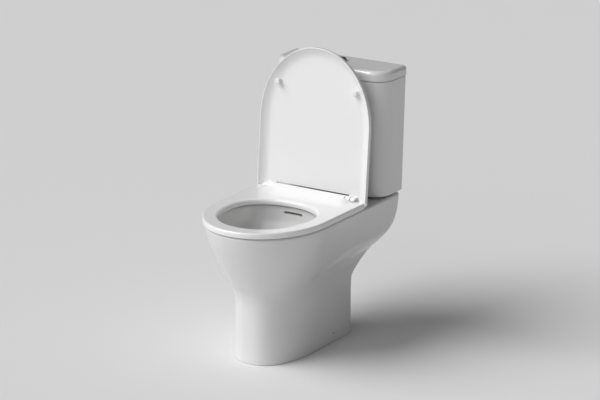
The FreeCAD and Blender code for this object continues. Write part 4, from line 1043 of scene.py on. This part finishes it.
steel = finish_material("bright_steel", (0.60, 0.60, 0.61), (0.52, 0.52, 0.53), 40.0,
                        (0.16, 0.30), 120.0, (300.0, 2500.0, 0.4), (0.12, 0.0003), metal=1.0)
valve_plastic = finish_material("valve_plastic_white", (0.78, 0.78, 0.765), (0.74, 0.74, 0.725), 18.0,
                                (0.38, 0.52), 45.0, (60.0, 900.0, 0.35), (0.10, 0.0008))
black_rubber = finish_material("black_rubber", (0.022, 0.022, 0.022), (0.04, 0.039, 0.038), 50.0,
                               (0.55, 0.78), 70.0, (150.0, 1500.0, 0.5), (0.25, 0.0006))


def dressed(material, *nodes):
    """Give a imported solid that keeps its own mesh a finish."""
    for name in nodes:
        for place in cad[name].material_slots:
            place.material = material


dressed(seat_plastic, "hinge_bases")
dressed(steel, "hinge_pins", "hinge_studs")
dressed(black_rubber, "stud_cone_washers")
dressed(valve_plastic, "stud_wing_nuts")

# ------------------------------------------------------------------ push button
# A dark chromed ring in the cistern lid with a split button: the large half gives a full flush
# and the small one a half flush. Each half pushes on a rod down to the flush valve.

BEZEL = 0.025
BEZEL_BORE = 0.0212
BEZEL_COLLAR = 0.023
BEZEL_EDGE = 0.0016
BORE_EDGE = 0.0006
DISC = 0.0207
DISC_EDGE = 0.0012
SPLIT = {"full": (-1, 0.0047), "half": (1, 0.0053)}
CAP_MIDDLE = {"full": -0.006, "half": 0.0128}

dark_chrome = finish_material("dark_chrome", (0.16, 0.16, 0.165), (0.12, 0.12, 0.125), 60.0,
                              (0.10, 0.18), 160.0, (90.0, 1800.0, 0.3), (0.03, 0.0003), metal=1.0)
bezel_low, bezel_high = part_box("button_bezel")
outline = [(BEZEL_COLLAR, bezel_low.z), (BEZEL_COLLAR, bezel_low.z + 0.0004),
           (BEZEL_COLLAR, cover_high.z - 0.0002), (BEZEL_COLLAR, cover_high.z),
           (BEZEL - 0.0004, cover_high.z), (BEZEL, cover_high.z + 0.0004)]
outline += [(BEZEL - 0.001 - BEZEL_EDGE * draw, bezel_high.z - BEZEL_EDGE * fall)
            for fall, draw in arc_steps(6)]
outline += [(BEZEL_BORE + BORE_EDGE * fall, bezel_high.z - BORE_EDGE * draw)
            for fall, draw in arc_steps(3)]
outline += [(BEZEL_BORE, bezel_high.z - 0.0012), (BEZEL_BORE, bezel_low.z + 0.0004),
            (BEZEL_BORE, bezel_low.z), (BEZEL_COLLAR, bezel_low.z)]
bezel = smooth(solid("button_ring", *skin(turned(outline, 72))))
bezel.data.transform(Matrix.Translation((0, VALVE_Y, 0)))
finished(bezel, dark_chrome, "cistern_cover", "chrome", "button_bezel")


def half_disc(side, split, radius, inset, height, count=44):
    """A disc's outline cut straight across at the split, drawn in by an inset all round."""
    radius -= inset
    cut = split + side * inset
    reach = math.acos(side * cut / radius)
    points = []
    for step in range(count + 1):
        angle = between(-reach, reach, step / count) + (0 if side > 0 else math.pi)
        points.append((radius * math.cos(angle), VALVE_Y + radius * math.sin(angle), height))
    top, bottom = points[-1], points[0]
    for step in range(1, 12):
        share = step / 12
        points.append((between(top[0], bottom[0], share), between(top[1], bottom[1], share), height))
    return points


for name, body in (("full", "full_button"), ("half", "half_button")):
    side, split = SPLIT[name]
    disc_low, disc_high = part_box(name + "_flush_button")
    rows = [half_disc(side, split, DISC, 0.0, height)
            for height in (disc_low.z, disc_low.z + 0.0003, disc_high.z - DISC_EDGE - 0.0004)]
    for fall, draw in arc_steps(6):
        rows.append(half_disc(side, split, DISC, DISC_EDGE * draw,
                              disc_high.z - DISC_EDGE * fall))
    rows.append(half_disc(side, split, DISC, DISC_EDGE + 0.0008, disc_high.z))
    middle = (CAP_MIDDLE[name], VALVE_Y)
    push = smooth(solid(name + "_button_cap",
                        *skin(rows, (*middle, disc_low.z), (*middle, disc_high.z))))
    finished(push, dark_chrome, body, "chrome", name + "_flush_button")
dressed(valve_plastic, "bezel_nut", "full_push_rod", "half_push_rod")

# ------------------------------------------------------------------ flush valve and coupling
# Moulded valve body on a rubber washer, with a lifting overflow tube and a red seal. Under the
# tank a steel plate, a foam ring and two bolts with wing nuts clamp the tank to the pan.

valve_blue = finish_material("valve_plastic_blue", (0.06, 0.16, 0.42), (0.05, 0.13, 0.36), 22.0,
                             (0.36, 0.50), 45.0, (60.0, 900.0, 0.35), (0.10, 0.0008))
red_rubber = finish_material("seal_red", (0.34, 0.035, 0.025), (0.28, 0.03, 0.022), 60.0,
                             (0.45, 0.65), 70.0, (140.0, 1500.0, 0.5), (0.2, 0.0005))
foam_rubber = finish_material("foam_black", (0.045, 0.045, 0.046), (0.07, 0.07, 0.07), 90.0,
                              (0.80, 0.95), 70.0, (420.0, 1600.0, 0.9), (0.8, 0.0015))
brass = finish_material("cast_brass", (0.55, 0.38, 0.15), (0.45, 0.31, 0.12), 45.0,
                        (0.28, 0.46), 110.0, (200.0, 1800.0, 0.5), (0.25, 0.0005), metal=1.0)
dressed(valve_plastic, "flush_valve_base", "flush_valve_cage", "overflow_tube", "flush_valve_back_nut")
dressed(valve_blue, "flush_valve_head")
dressed(red_rubber, "flush_seal")
dressed(black_rubber, "flush_valve_washer", "coupling_bolt_washers")
dressed(foam_rubber, "doughnut_washer")
dressed(steel, "coupling_plate", "coupling_bolts")
dressed(brass, "coupling_wing_nuts")

# ------------------------------------------------------------------ fill valve
# A bottom-fed valve beside the flush valve: a threaded tail, a column, a head with a lever, and a
# float that hangs from the lever by a rod and slides up the column.

dressed(valve_plastic, "fill_valve_column", "fill_valve_back_nut", "fill_valve_lever", "fill_valve_float",
        "float_rod")
dressed(valve_blue, "fill_valve_head")
dressed(black_rubber, "fill_valve_washer")
dressed(steel, "lever_pivot_pin")

# ------------------------------------------------------------------ floor fixings
# Two plastic brackets screwed to the floor inside the foot. A screw through each side of the
# foot grips its bracket, under a small open cap pressed into the china.

CAP = 0.0053
CAP_BORE = 0.0034
CAP_DEPTH = 0.0032
CAP_LENGTH = 0.005
CAP_EDGE = 0.0007
CAP_CORE = 0.0004

cap_plastic = finish_material("cap_plastic_white", (0.74, 0.74, 0.735), (0.70, 0.70, 0.695), 80.0,
                              (0.25, 0.35), 120.0, (120.0, 1200.0, 0.3), (0.05, 0.0004))
dressed(valve_plastic, "floor_brackets")
dressed(steel, "side_fixing_screws")
cap_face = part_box("side_screw_caps")[1].x - 0.0006
cap_back = cap_face - CAP_LENGTH
cap_floor = cap_face - CAP_DEPTH
outline = [(CAP_CORE, cap_floor), (CAP_BORE - 0.0006, cap_floor), (CAP_BORE, cap_floor + 0.0006),
           (CAP_BORE, cap_face - 0.0005), (CAP_BORE + 0.0004, cap_face)]
outline += [(CAP - CAP_EDGE * fall, cap_face - CAP_EDGE * draw)
            for fall, draw in arc_steps(4)]
outline += [(CAP, cap_face - 0.0045), (CAP - 0.0006, cap_back), (CAP_CORE, cap_back)]
caps = None
for side in (-1, 1):
    cap = solid("fixing_cap", *skin(list(reversed(turned(outline, 40))), (0, 0, cap_back),
                                    (0, 0, cap_floor)))
    turn = Matrix.Rotation(side * math.pi / 2, 4, "Y")
    cap.data.transform(Matrix.Translation((0, *SIDE_HOLE)) @ turn)
    caps = cap if caps is None else combine(caps, cap, "UNION")
finished(smooth(caps), cap_plastic, "pan", "cap_plastic", "side_screw_caps")
